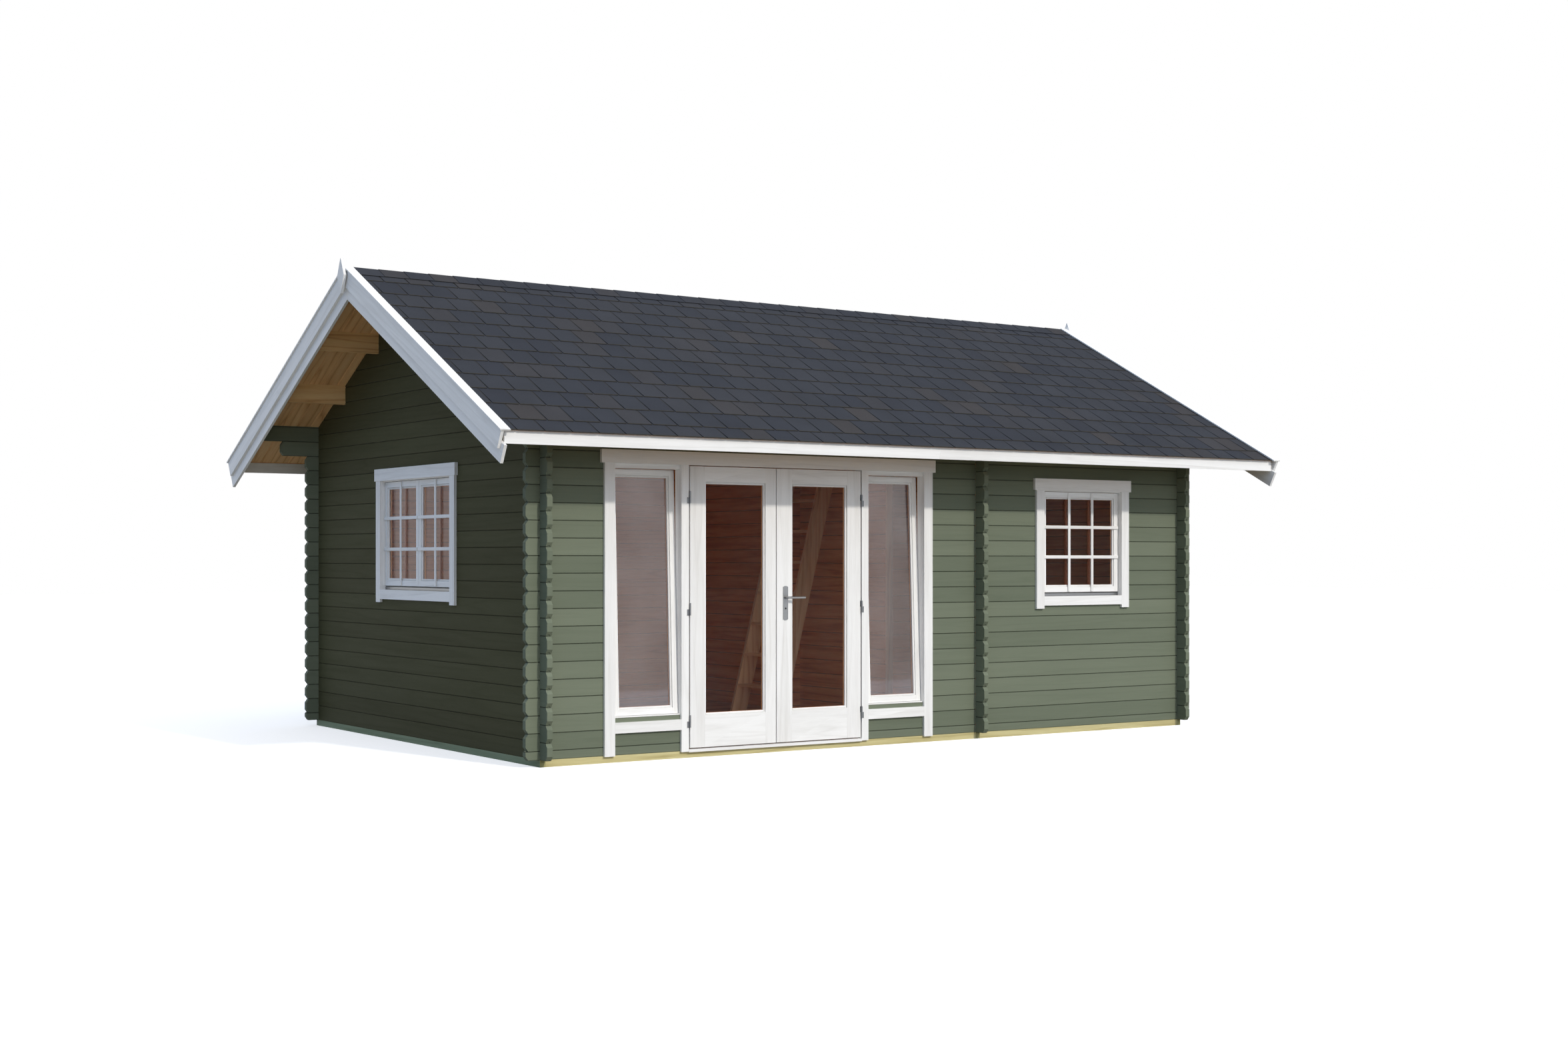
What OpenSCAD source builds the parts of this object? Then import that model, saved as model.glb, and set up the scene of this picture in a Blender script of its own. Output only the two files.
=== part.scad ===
/* [Walls] */
// Length of the house along its front, outside face to outside face
wall_l = 5700; // [5500:10:6400]
// Depth of the house from front to back, outside face to outside face
wall_d = 3850; // [3600:10:4400]
// Thickness of a log
log_t = 40; // [34:1:50]
// Height of one course of logs
log_p = 113; // [106:0.5:120]
// How far the log ends stand out past a crossing wall
log_end = 100; // [70:5:140]
// Left face of the partition, measured from the middle of the house
part_x = 735; // [600:5:900]
// Front face of the inner cross wall, measured from the front wall's outside face
cross_y = 2270; // [2100:5:2500]
// How far the corbel logs under the eaves stand out past the gable walls
corbel_end = 305; // [220:5:400]

/* [Log joints] */
// Width of the tongue along the top of a log
tongue_w = 14; // [10:0.5:18]
// Height of the tongue
tongue_h = 8; // [5:0.5:12]
// Play between a tongue and its groove, on each side
tongue_gap = 0.5; // [0.3:0.1:1]
// Size of the small bevel along the edges of a log
log_bevel = 4; // [2:0.5:6]
// Length of the bevel on a log's free end
end_bevel_l = 20; // [8:1:30]
// Height of the bevel on a log's free end
end_bevel_h = 28; // [10:1:36]
// Gap left between two logs, and between the halves of a crossing
log_gap = 0.4; // [0.3:0.1:0.8]
// Extra height of the top log, which is planed to the slope of the roof
top_log_extra = 8; // [4:1:20]

/* [Ground frame and floor] */
// Height of the bearers under the walls
bearer_h = 46; // [40:1:70]
// Thickness of the floor boards
floor_t = 19; // [16:1:28]
// Width of a floor joist
joist_w = 45; // [36:1:60]
// Largest distance between two floor joists
joist_step = 620; // [450:10:800]
// Gap between the floor and the walls
floor_gap = 4; // [2:0.5:8]

/* [Roof] */
// Slope of the roof in degrees
roof_angle = 27.3; // [22:0.1:32]
// How far the face of the fascia stands out from the front and back walls
eave = 501; // [400:1:560]
// How far the face of the upper bargeboards stands out from the gable walls
verge = 535; // [440:1:600]
// Thickness of the roof boards
roof_t = 16; // [14:1:22]
// Thickness of a shingle course at its lower edge
shingle_t = 5.6; // [4:0.1:8]
// Length of one shingle course that shows
shingle_step = 235; // [140:1:260]
// How far the shingles stand out past the fascia
shingle_over = 14; // [6:1:24]
// Width of the ridge shingles on each slope
ridge_w = 125; // [90:1:160]
// Thickness of a purlin
purlin_t = 42; // [36:1:60]
// Height of a purlin
purlin_h = 145; // [120:1:170]
// Distance of the lower purlin's upper face from the wall's outside face
purlin_1 = 599; // [500:1:680]
// Distance of the upper purlin's upper face from the wall's outside face
purlin_2 = 1252; // [1150:1:1350]
// Thickness of a bargeboard
barge_t = 20; // [16:1:26]
// Width of a bargeboard
barge_w = 120; // [95:1:145]
// How far the lower bargeboard hangs below the upper one
barge_drop = 80; // [50:1:100]
// How far the upper bargeboard runs past the fascia, along the slope
barge_past = 33; // [25:1:60]
// How much longer the lower bargeboard is than the upper one
barge_long = 40; // [20:1:60]
// Width of the strips that cap the bargeboards
cap_w = 70; // [55:1:90]
// Thickness of the strips that cap the bargeboards
cap_t = 9; // [7:1:14]
// How far the cap strips stand out from the bargeboards
cap_over = 10; // [4:1:16]
// How far the cap strips run past the lower ends of the bargeboards
cap_past = 5; // [2:1:12]
// Thickness of the fascia boards
fascia_t = 17; // [14:1:22]
// Height of the fascia boards
fascia_h = 82; // [70:1:110]
// Length of the slanting joint in the middle of a fascia board
scarf_l = 24; // [8:1:80]
// Height of the wooden strip between the fascia and the shingles
strip_h = 9; // [6:1:14]
// Height of the pointed board at each end of the ridge
finial_h = 246; // [200:2:320]
// Width of the pointed board
finial_w = 124; // [90:2:160]
// How much of the pointed board stands above the ridge
finial_up = 60; // [40:1:90]
// Width of the pointed board's blunt tips
finial_tip = 8; // [4:1:16]

/* [Entrance] */
// Width of the wall opening
entry_w = 2632; // [2500:1:2800]
// Left edge of the left door leaf, measured from the left side of the opening
leaf_x = 612; // [560:1:640]
// Width of the left door leaf
leaf_l_w = 687; // [640:1:720]
// Width of the right door leaf
leaf_r_w = 714; // [660:1:740]
// Gap between the two leaves where they meet
meet_gap = 8; // [7:0.5:12]
// Gap between a leaf and the jamb beside it
jamb_gap = 11; // [8:0.5:14]
// Gap over and under the leaves
leaf_gap = 6; // [5:0.5:9]
// Thickness of a door leaf
leaf_t = 44; // [36:1:54]
// Depth of the leaf's outside face behind the face of the trim
leaf_back = 2; // [0:0.5:6]
// Width of a leaf's stile beside the hinges
stile_hinge_w = 116; // [90:1:130]
// Width of the left leaf's stile where the leaves meet
stile_l_w = 84; // [70:1:120]
// Width of the right leaf's stile where the leaves meet
stile_r_w = 124; // [100:1:130]
// Height of the top rail
top_rail = 103; // [80:1:130]
// Height of the bottom rail
bottom_rail = 214; // [160:1:260]
// Width of the posts between the doors and the side windows
post_w = 58; // [45:1:70]
// Height of the threshold above the bearers
threshold_h = 14; // [10:1:19]
// Fall of the threshold towards its front edge
threshold_fall = 3; // [1:0.5:5]
// How far the threshold stands out from the trim
threshold_nose = 3; // [1:0.5:8]
// How far the threshold's front edge hangs over the bearers
threshold_lip = 8; // [4:1:14]
// How far the entrance's trim boards run down over the bearers
trim_foot = 4; // [1:1:12]
// Height of the boards under the side windows
sill_board_h = 70; // [45:1:80]
// How far these boards hang below the side windows' sills
sill_board_drop = 100; // [80:1:115]
// Lean of the side windows, which stand tipped in at the top
tilt_angle = 2; // [1:0.1:6]
// Height of the cut log under a side window
cut_log_h = 74; // [50:1:85]
// Height of the frame's sill under a side window
light_sill_h = 8; // [5:1:20]
// Height of the frame's head over a side window
light_head_h = 30; // [20:1:45]

/* [Door furniture] */
// Radius of a hinge knuckle
knuckle_r = 5.5; // [4.5:0.1:6.5]
// Radius of a hinge pin
pin_r = 3; // [2:0.1:3.5]
// Play between a hinge pin and the knuckle that turns on it
pin_gap = 0.35; // [0.3:0.05:0.5]
// Height of a hinge
hinge_h = 82; // [60:1:100]
// Height of the lower hinge above the leaf's bottom edge
hinge_low = 136; // [100:1:260]
// Distance of the upper hinge's top from the leaf's top edge
hinge_high = 167; // [120:1:260]
// Width of a hinge's plate on the frame
hinge_plate_w = 14; // [8:1:40]
// Width of a hinge's plate on a leaf
leaf_plate_w = 4; // [3:1:40]
// Thickness of a hinge's plates
hinge_plate_t = 3; // [2:0.5:4]
// Distance of the knuckles from the leaf's face
knuckle_off = 3.5; // [3:0.1:5]
// Width of a lock plate
plate_w = 40; // [32:1:50]
// Height of a lock plate
plate_h = 235; // [180:1:260]
// Thickness of a lock plate
plate_t = 4; // [3:0.5:6]
// How far a lock plate reaches below the lever's axis
plate_low = 155; // [120:1:170]
// Radius of the lock plates' bowed ends
plate_end_r = 32; // [26:1:60]
// Distance of the key hole below the lever's axis
key_drop = 75; // [60:1:92]
// Radius of the key hole's cylinder
key_r = 7; // [5:0.5:9]
// Height of the lever's axis above the leaf's bottom edge
lever_z = 993; // [900:1:1080]
// Distance of the lever's axis from the right leaf's meeting edge
lever_in = 72; // [60:1:90]
// Length of the lever, from its axis to its tip
lever_l = 136; // [110:1:150]
// Radius of the lever's grip
lever_r = 8; // [6:0.5:9]
// Distance of the grip's middle from the lock plate
lever_off = 42; // [34:1:54]
// Radius of the spindle through the leaf
spindle_r = 4; // [3:0.5:5]
// Radius of the lever's neck
neck_r = 9; // [7:0.5:12]

/* [Windows] */
// Width of the front window's opening
win_w = 878; // [760:1:1000]
// Front side of the gable window's opening, measured from the front wall's outside face
gwin_y = 1276; // [1100:1:1400]
// Width of the gable window's opening
gwin_w = 1292; // [1100:1:1500]
// Width of the trim boards
trim_w = 77; // [60:1:95]
// Thickness of the trim boards
trim_t = 20; // [14:1:24]
// How far a trim board covers the edge of its opening
trim_lap = 40; // [25:1:50]
// Height of the header boards
header_h = 88; // [70:1:110]
// How far a header board runs past the trim at each end
header_past = 24; // [0:1:40]
// How far a window's header board runs past the trim at each end
win_header_past = 19; // [0:1:36]
// How far a header board stands out from the trim
header_proud = 4; // [1:0.5:8]
// How far a window's header board hangs below the top of its opening
header_drop = 67; // [50:1:80]
// How far a window's trim runs down below its opening
jamb_drop = 58; // [40:1:80]
// Width of a fixed frame's members
frame_w = 36; // [28:1:46]
// Depth of a fixed frame
frame_d = 64; // [50:1:74]
// Height of a window frame's sill
frame_sill_h = 64; // [50:1:70]
// Height of the front step of a window frame's sill
sill_step_h = 28; // [15:1:40]
// Rise of this step towards the sash, which lets water run off
sill_fall = 4; // [1:0.5:8]
// Thickness of the sill's upstand, which the sash closes on
upstand_t = 12; // [8:1:20]
// Height of a window frame's head
frame_head_h = 36; // [26:1:56]
// Gap between a fixed frame and the logs
frame_gap = 5; // [3:0.5:8]
// Room left over a frame for the logs to settle
settle = 38; // [20:1:44]
// Width of a sash's members
sash_w = 40; // [30:1:60]
// Thickness of a sash
sash_t = 40; // [32:1:46]
// Gap between a sash and its frame
sash_gap = 3; // [2:0.5:5]
// Depth of a sash's face behind the face of the wall
sash_y = 20; // [4:1:24]
// Thickness of the glass
glass_t = 6; // [4:1:10]

/* [Doorway and ladder] */
// Front side of the doorway in the partition, measured from the front wall's outside face
door_y = 285; // [200:5:400]
// Width of the inner doorways
door_w = 800; // [700:5:900]
// Left side of the doorway in the cross wall, measured from the partition
cross_door = 90; // [60:5:200]
// Thickness of the boards that line the doorway
lining_t = 20; // [16:1:28]
// How far the lining stands out from the logs
lining_proud = 8; // [2:1:16]
// Left face of the ladder's foot, measured from the partition's left face
ladder_x = 723; // [600:1:820]
// Front side of the ladder, measured from the front wall's outside face
ladder_y = 1655; // [1300:1:1670]
// Width of the ladder
ladder_w = 577; // [420:1:590]
// Width of a ladder stile, measured level
stile_w = 141; // [90:1:160]
// Thickness of a ladder stile
stile_t = 28; // [20:1:36]
// Height of the lowest tread above the floor
tread_first = 225; // [180:1:270]
// Height from one tread to the next
tread_step = 249; // [200:1:270]
// How far the treads stand back from the edges of the stiles
tread_in = 6; // [2:1:15]
// Thickness of a tread
tread_t = 22; // [18:1:30]

/* [Hidden] */
$fn = 48;
fit = 0.3;
neck_gap = 1;
past = 1;
wall_courses = 20;
entry_course = 18;
win_low_course = 9;
win_high_course = 17;
gwin_low_course = 10;
gwin_high_course = 18;
door_high_course = 18;
cross_courses = 19;
green = "#78806b";
shade_green = "#6c7462";
white = "#efeeea";
raw_wood = "#b98d5c";
slate = "#40444f";
glass_tint = [0.75, 0.85, 0.88, 0.35];
steel = "#9a9c9e";

// Height of the underside of course j in the front and back walls
function front_z(j) = bearer_h + log_p * max(0, j - 0.5);
// Height of the underside of course m in the gable walls and the partition
function gable_z(m) = bearer_h + log_p * (m - 1);

wall_top = front_z(wall_courses + 1) + top_log_extra;
// Height of the roof boards' underside at a distance inside the wall's outside face
function roof_z(d) = wall_top + (d - log_t) * tan(roof_angle);
ridge_z = roof_z(wall_d / 2);
shingle_n = roof_t + shingle_t;
cap_n = shingle_n + fit;
barge_in = verge - 2 * barge_t;
far_x = wall_l + log_end;
far_y = wall_d + log_end;
right_x = wall_l - log_t;
back_y = wall_d - log_t;
part_left = wall_l / 2 + part_x;
// The entrance and the front window stand in the middle of their rooms
entry_x = (log_t + part_left - entry_w) / 2;
win_x = (part_left + log_t + right_x - win_w) / 2;
entry_x2 = entry_x + entry_w;
leaf_l_x = entry_x + leaf_x;
leaf_l_x2 = leaf_l_x + leaf_l_w;
leaf_r_x = leaf_l_x2 + meet_gap;
leaf_r_x2 = leaf_r_x + leaf_r_w;
post_l_x = leaf_l_x - jamb_gap - post_w;
post_r_x = leaf_r_x2 + jamb_gap;
entry_top = front_z(entry_course);
head_z = entry_top - settle - frame_w;
leaf_z = bearer_h + threshold_h + leaf_gap;
leaf_h = head_z - leaf_gap - leaf_z;
leaf_y = -trim_t + leaf_back;
sill_z = front_z(2) + cut_log_h;
hinge_y = leaf_y - knuckle_r - knuckle_off;
hinge_l_x = leaf_l_x - jamb_gap / 2;
hinge_r_x = leaf_r_x2 + jamb_gap / 2;
hinge_top = leaf_h - hinge_high - hinge_h;
hinge_zs = [hinge_low, (hinge_low + hinge_top) / 2, hinge_top];
lever_x = leaf_r_x + lever_in;
win_z = front_z(win_low_course);
win_z2 = front_z(win_high_course);
gwin_z = gable_z(gwin_low_course);
gwin_z2 = gable_z(gwin_high_course);
floor_z = bearer_h + floor_t;
cross_door_x = part_left + log_t + cross_door;

// Places children with the outside front left corner of the walls as zero
module house() {
    translate([-wall_l / 2, -wall_d / 2, 0])
        children();
}

module block(x, y, z, x2, y2, z2) {
    translate([x, y, z])
        cube([x2 - x, y2 - y, z2 - z]);
}

// Turns a flat outline of y and z into a bar that runs along x
module along_x(x, x2) {
    translate([x, 0, 0])
        rotate([90, 0, 90])
            linear_extrude(x2 - x)
                children();
}

// Turns a flat outline of x and z into a bar that runs along y
module along_y(y, y2) {
    translate([0, y2, 0])
        rotate([90, 0, 0])
            linear_extrude(y2 - y)
                children();
}

// Cross-section of a log: bevelled edges, a tongue above and a groove below
module log_section(h, tongue = true, groove = true) {
    mid = log_t / 2;
    tw = tongue_w / 2;
    gw = tongue_w / 2 + tongue_gap;
    gd = tongue_h + tongue_gap;
    low = groove ? [[mid - gw, 0], [mid - gw, gd], [mid + gw, gd], [mid + gw, 0]] : [];
    high = tongue ? [[mid + tw, h], [mid + tw, h + tongue_h], [mid - tw, h + tongue_h], [mid - tw, h]] : [];
    polygon(concat(
        [[0, log_bevel], [log_bevel, 0]], low, [[log_t - log_bevel, 0], [log_t, log_bevel]],
        [[log_t, h - log_bevel], [log_t - log_bevel, h]], high, [[log_bevel, h], [0, h - log_bevel]]
    ));
}

// Side outline of a log from a to b, with bevelled corners on its free ends
module log_outline(a, b, h, free_a, free_b, low_only = false) {
    top = h + tongue_h + past;
    al = free_a ? end_bevel_l : 0;
    ah = free_a ? end_bevel_h : 0;
    bl = free_b ? end_bevel_l : 0;
    bh = free_b ? end_bevel_h : 0;
    ka = free_a && !low_only ? 1 : 0;
    kb = free_b && !low_only ? 1 : 0;
    polygon(concat(
        free_a ? [[a + al, 0], [a, ah]] : [[a, 0]],
        ka == 1 ? [[a, h - ah], [a + al, h], [a + al, top]] : [[a, top]],
        kb == 1 ? [[b - bl, top], [b - bl, h], [b, h - bh]] : [[b, top]],
        free_b ? [[b, bh], [b - bl, 0]] : [[b, 0]]
    ));
}

// Half lap that a crossing log cuts into the top or the underside of a log of height h
module notch(h, top) {
    depth = log_p / 4 + log_gap / 2;
    translate([-fit, -past, top ? log_p - depth : -past])
        cube([
            log_t + 2 * fit, log_t + 2 * past,
            top ? h - log_p + depth + tongue_h + 2 * past : depth + past
        ]);
}

// One log of a front or back wall in course j, from a to b, crossed at the walls listed in cuts
module front_log(j, y, a, b, cuts, free_a = false, free_b = false, top = wall_courses, h2 = 0) {
    z = front_z(j);
    full = j == 0 ? log_p / 2 : log_p;
    h = (h2 > 0 ? h2 : full) - log_gap;
    lift = j == 0 ? -log_p / 2 : 0;
    has_tongue = j < top && h2 == 0;
    translate([0, y, z])
        difference() {
            intersection() {
                along_x(a, b)
                    log_section(h, has_tongue, j > 0);
                along_y(-past, log_t + past)
                    log_outline(a, b, h, free_a, free_b, j == 0);
            }
            for (x = cuts) {
                if (x > a && x < b) {
                    if (j > 0)
                        translate([x, 0, 0])
                            notch(h, false);
                    if (j < wall_courses)
                        translate([x, 0, lift])
                            notch(h - lift, true);
                }
            }
        }
}

// One log of a gable wall or of the partition in course m, from a to b along y
module gable_log(m, x, a, b, cuts, free_a = false, free_b = false, last = false) {
    h = log_p - log_gap;
    translate([x, 0, gable_z(m)])
        difference() {
            intersection() {
                along_y(a, b)
                    log_section(h, !last, m > 1);
                along_x(-past, log_t + past)
                    log_outline(a, b, h, free_a, free_b);
            }
            for (c = cuts) {
                if (c[0] > a && c[0] < b) {
                    if (m - 1 <= c[1])
                        translate([log_t, c[0], 0])
                            rotate([0, 0, 90])
                                notch(h, false);
                    if (m <= c[1])
                        translate([log_t, c[0], 0])
                            rotate([0, 0, 90])
                                notch(h, true);
                }
            }
        }
}

// Space under the roof boards, over the whole length of the house
module under_roof(gap = fit) {
    low = -2 * eave;
    drop = gap / cos(roof_angle);
    along_x(-2 * verge, wall_l + 2 * verge)
        polygon([
            [low, 0], [wall_d - low, 0], [wall_d - low, roof_z(low) - drop],
            [wall_d / 2, ridge_z - drop], [low, roof_z(low) - drop]
        ]);
}

// Places children on the front or the back slope: y runs up the slope, z stands square to it
module on_slope(back = false) {
    translate([0, back ? wall_d : 0, 0])
        mirror([0, back ? 1 : 0, 0])
            translate([0, 0, roof_z(0)])
                rotate([roof_angle, 0, 0])
                    children();
}

// Distance up the slope at which a layer at height n meets the plumb line over the ridge
function ridge_s(n, gap = fit) = (wall_d / 2 - gap + n * sin(roof_angle)) / cos(roof_angle);

// A board on the slope between heights n and n2, from s up to the ridge, cut plumb there
module slope_board(x, x2, s, n, n2) {
    along_x(x, x2)
        polygon([[s, n], [ridge_s(n), n], [ridge_s(n2), n2], [s, n2]]);
}

wall_cuts = [0, part_left, right_x];
side_cuts = [[0, wall_courses], [back_y, wall_courses]];
inner_cuts = [[0, wall_courses], [cross_y, cross_courses], [back_y, wall_courses]];

// Bearers and floor

module cross_bearers() {
    color("#97915a")
        house()
            for (x = [0, part_left, right_x])
                block(x, 0, 0, x + log_t, wall_d, bearer_h);
}

module long_bearers() {
    color("#d0c694")
        house() {
            for (y = [0, back_y]) {
                block(log_t + fit, y, 0, part_left - fit, y + log_t, bearer_h);
                block(part_left + log_t + fit, y, 0, right_x - fit, y + log_t, bearer_h);
            }
            block(part_left + log_t + fit, cross_y, 0, right_x - fit, cross_y + log_t, bearer_h);
        }
}

// Joists from x to x2, evenly set between two walls at y and y2
module joist_row(x, x2, y, y2) {
    count = ceil((y2 - y - joist_w) / joist_step);
    for (i = [0 : count]) {
        at = y + fit + i * (y2 - y - joist_w - 2 * fit) / count;
        block(x + fit, at, 0, x2 - fit, at + joist_w, bearer_h);
    }
}

module floor_joists() {
    color("#d0c694")
        house() {
            joist_row(log_t, part_left, log_t, back_y);
            joist_row(part_left + log_t, right_x, log_t, cross_y);
            joist_row(part_left + log_t, right_x, cross_y + log_t, back_y);
        }
}

module floor_panel(x, x2, y, y2) {
    block(x + floor_gap, y + floor_gap, bearer_h, x2 - floor_gap, y2 - floor_gap, floor_z);
}

module main_room_floor() {
    color(raw_wood)
        house()
            difference() {
                floor_panel(log_t, part_left, log_t, back_y);
                block(
                    part_left - log_end - floor_gap, cross_y - floor_gap, 0,
                    part_left, cross_y + log_t + floor_gap, 2 * floor_z
                );
            }
}

module second_room_floor() {
    color(raw_wood)
        house() {
            floor_panel(part_left + log_t, right_x, log_t, cross_y);
            floor_panel(part_left + log_t, right_x, cross_y + log_t, back_y);
        }
}

// Log walls

module front_wall_left() {
    color(green)
        house()
            for (j = [0 : entry_course - 1])
                front_log(j, 0, -log_end, entry_x, wall_cuts, true, false);
}

module front_wall_right() {
    color(green)
        house()
            for (j = [0 : entry_course - 1]) {
                if (j >= win_low_course && j < win_high_course) {
                    front_log(j, 0, entry_x2, win_x, wall_cuts);
                    front_log(j, 0, win_x + win_w, far_x, wall_cuts, false, true);
                } else {
                    difference() {
                        front_log(j, 0, entry_x2, far_x, wall_cuts, false, true);
                        if (j == win_low_course - 1)
                            block(win_x, -past, win_z - log_gap, win_x + win_w, log_t + past, win_z2);
                    }
                }
            }
}

module front_wall_sills() {
    color(green)
        house()
            for (x = [[entry_x + fit, post_l_x + post_w], [post_r_x, entry_x2 - fit]]) {
                front_log(0, 0, x[0], x[1], []);
                front_log(1, 0, x[0], x[1], []);
                front_log(2, 0, x[0], x[1], [], h2 = cut_log_h);
            }
}

// The courses over the openings of a long wall: regular ones, the corbel log and the eaves log
module top_courses(y, first) {
    reach = barge_in - fit;
    for (j = [first : wall_courses - 2])
        front_log(j, y, -log_end, far_x, wall_cuts, true, true);
    front_log(wall_courses - 1, y, -corbel_end, wall_l + corbel_end, wall_cuts, true, true);
    intersection() {
        front_log(wall_courses, y, -reach, wall_l + reach, wall_cuts, h2 = log_p + top_log_extra + log_t);
        under_roof();
    }
}

module front_wall_top() {
    color(green)
        house()
            top_courses(0, entry_course);
}

module back_wall() {
    color(green)
        house() {
            for (j = [0 : entry_course - 1])
                front_log(j, back_y, -log_end, far_x, wall_cuts, true, true);
            top_courses(back_y, entry_course);
        }
}

module left_wall() {
    color(shade_green)
        house()
            for (m = [1 : wall_courses])
                intersection() {
                    union() {
                        if (m >= gwin_low_course && m < gwin_high_course) {
                            gable_log(m, 0, -log_end, gwin_y, side_cuts, true, false);
                            gable_log(m, 0, gwin_y + gwin_w, far_y, side_cuts, false, true);
                        } else {
                            difference() {
                                gable_log(m, 0, -log_end, far_y, side_cuts, true, true);
                                if (m == gwin_low_course - 1)
                                    block(
                                        -past, gwin_y, gwin_z - log_gap,
                                        log_t + past, gwin_y + gwin_w, gwin_z2
                                    );
                            }
                        }
                    }
                    under_roof();
                }
}

module right_wall() {
    color(shade_green)
        house()
            for (m = [1 : wall_courses])
                intersection() {
                    gable_log(m, right_x, -log_end, far_y, inner_cuts, true, true);
                    under_roof();
                }
}

gable_courses = floor((ridge_z - bearer_h) / log_p);

// The logs of a gable, cut to the slope of the roof and round the purlins
module gable_triangle(x) {
    for (m = [wall_courses + 1 : gable_courses]) {
        last = m == gable_courses;
        difference() {
            intersection() {
                gable_log(m, x, log_t + fit, back_y - fit, [], last = last);
                under_roof();
            }
            purlin_bars(fit);
        }
    }
}

module left_gable() {
    color(shade_green)
        house()
            gable_triangle(0);
}

module right_gable() {
    color(shade_green)
        house()
            gable_triangle(right_x);
}

module partition_wall() {
    color("#a97a58")
        house()
            for (m = [1 : wall_courses])
                intersection() {
                    union() {
                        if (m < door_high_course) {
                            gable_log(m, part_left, -log_end, door_y, inner_cuts, true, false);
                            gable_log(m, part_left, door_y + door_w, far_y, inner_cuts, false, true);
                        } else {
                            gable_log(m, part_left, -log_end, far_y, inner_cuts, true, true,
                                last = m == wall_courses);
                        }
                    }
                    under_roof();
                }
}

module cross_wall() {
    color("#a97a58")
        house()
            for (j = [0 : cross_courses]) {
                if (j < door_high_course) {
                    front_log(j, cross_y, part_left - log_end, cross_door_x, wall_cuts, true, false);
                    front_log(j, cross_y, cross_door_x + door_w, far_x, wall_cuts, false, true);
                } else {
                    front_log(
                        j, cross_y, part_left - log_end, far_x, wall_cuts, true, true, top = cross_courses
                    );
                }
            }
}

// Boards that line a doorway: a sill between the floors, two jambs and a head, along x in a wall at y = 0
module lining(top) {
    d = log_t + lining_proud;
    sill = floor_gap - fit;
    block(fit, -sill, bearer_h, door_w - fit, log_t + sill, floor_z);
    block(fit, -lining_proud, floor_z, lining_t, d, top - lining_t - fit);
    block(door_w - lining_t, -lining_proud, floor_z, door_w - fit, d, top - lining_t - fit);
    block(fit, -lining_proud, top - lining_t, door_w - fit, d, top - fit);
}

module doorway_lining() {
    color(white)
        house() {
            translate([part_left, door_y + door_w, 0])
                rotate([0, 0, -90])
                    lining(gable_z(door_high_course));
            translate([cross_door_x, cross_y, 0])
                lining(front_z(door_high_course));
        }
}

// Roof

// Purlins on both slopes and under the ridge, planed to the slope, grown by gap for their seats
module purlin_bars(gap = 0) {
    reach = barge_in - fit + gap;
    intersection() {
        union() {
            for (d = [purlin_1, purlin_2]) {
                z = roof_z(d) - purlin_h - gap;
                for (y = [d - purlin_t, wall_d - d])
                    block(-reach, y - gap, z, wall_l + reach, y + purlin_t + gap, z + 2 * purlin_h);
            }
            block(
                -reach, (wall_d - purlin_t) / 2 - gap, ridge_z - purlin_h - gap,
                wall_l + reach, (wall_d + purlin_t) / 2 + gap, ridge_z + purlin_h
            );
        }
        under_roof(gap > 0 ? -past : fit);
    }
}

module purlins() {
    color(raw_wood)
        house()
            purlin_bars();
}

board_in = verge - barge_t - fit;
board_s = -(eave - fascia_t - roof_t * sin(roof_angle) - fit) / cos(roof_angle);

module front_roof_boards() {
    color(raw_wood)
        house()
            on_slope()
                slope_board(-board_in, wall_l + board_in, board_s, 0, roof_t);
}

module back_roof_boards() {
    color(raw_wood)
        house()
            on_slope(true)
                slope_board(-board_in, wall_l + board_in, board_s, 0, roof_t);
}

shingle_s = -(eave + shingle_over) / cos(roof_angle);
shingle_low = roof_t + fit / 2;
shingle_rows = ceil((ridge_s(shingle_low) - shingle_s) / shingle_step);
shingle_thin = shingle_t / 3;
// Upper edge of course i, counted from the ridge
function course_s(i) = ridge_s(shingle_low) - i * shingle_step;

// Overlapping courses: each is thickest at its lower edge and thins out under the next one
module shingle_section() {
    polygon(concat(
        [[ridge_s(shingle_low), shingle_low], [shingle_s, shingle_low]],
        [for (i = [shingle_rows - 1 : -1 : 0], k = [1, 0])
            [max(course_s(i + k), shingle_s), roof_t + (k == 1 ? shingle_t : shingle_thin)]]
    ));
}

module shingle_slope() {
    intersection() {
        along_x(-board_in, wall_l + board_in)
            shingle_section();
        along_x(-board_in, wall_l + board_in)
            polygon([
                [2 * shingle_s, 0], [ridge_s(0), 0],
                [ridge_s(shingle_n), shingle_n], [2 * shingle_s, shingle_n]
            ]);
    }
}

module front_shingles() {
    color(slate)
        house()
            on_slope()
                shingle_slope();
}

module back_shingles() {
    color(slate)
        house()
            on_slope(true)
                shingle_slope();
}

ridge_in = verge + cap_over - cap_w - fit;

module ridge_shingles() {
    low_s = ridge_s(0) - ridge_w;
    top_n = cap_n + shingle_t;
    color(slate)
        house()
            for (back = [false, true])
                on_slope(back)
                    along_x(-ridge_in, wall_l + ridge_in)
                        polygon([
                            [low_s, cap_n], [ridge_s(cap_n), cap_n],
                            [ridge_s(top_n), top_n], [low_s, cap_n + shingle_thin]
                        ]);
}

barge_s = -eave / cos(roof_angle) - barge_past;

// A pair of boards on each gable, from s up to the ridge between heights n and n2
module verge_boards(outer, inner, s, n, n2) {
    for (back = [false, true])
        on_slope(back) {
            slope_board(-outer, -inner, s, n, n2);
            slope_board(wall_l + inner, wall_l + outer, s, n, n2);
        }
}

module bargeboards() {
    color(white)
        house()
            verge_boards(verge, verge - barge_t + fit / 2, barge_s, shingle_n - barge_w, shingle_n);
}

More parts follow.
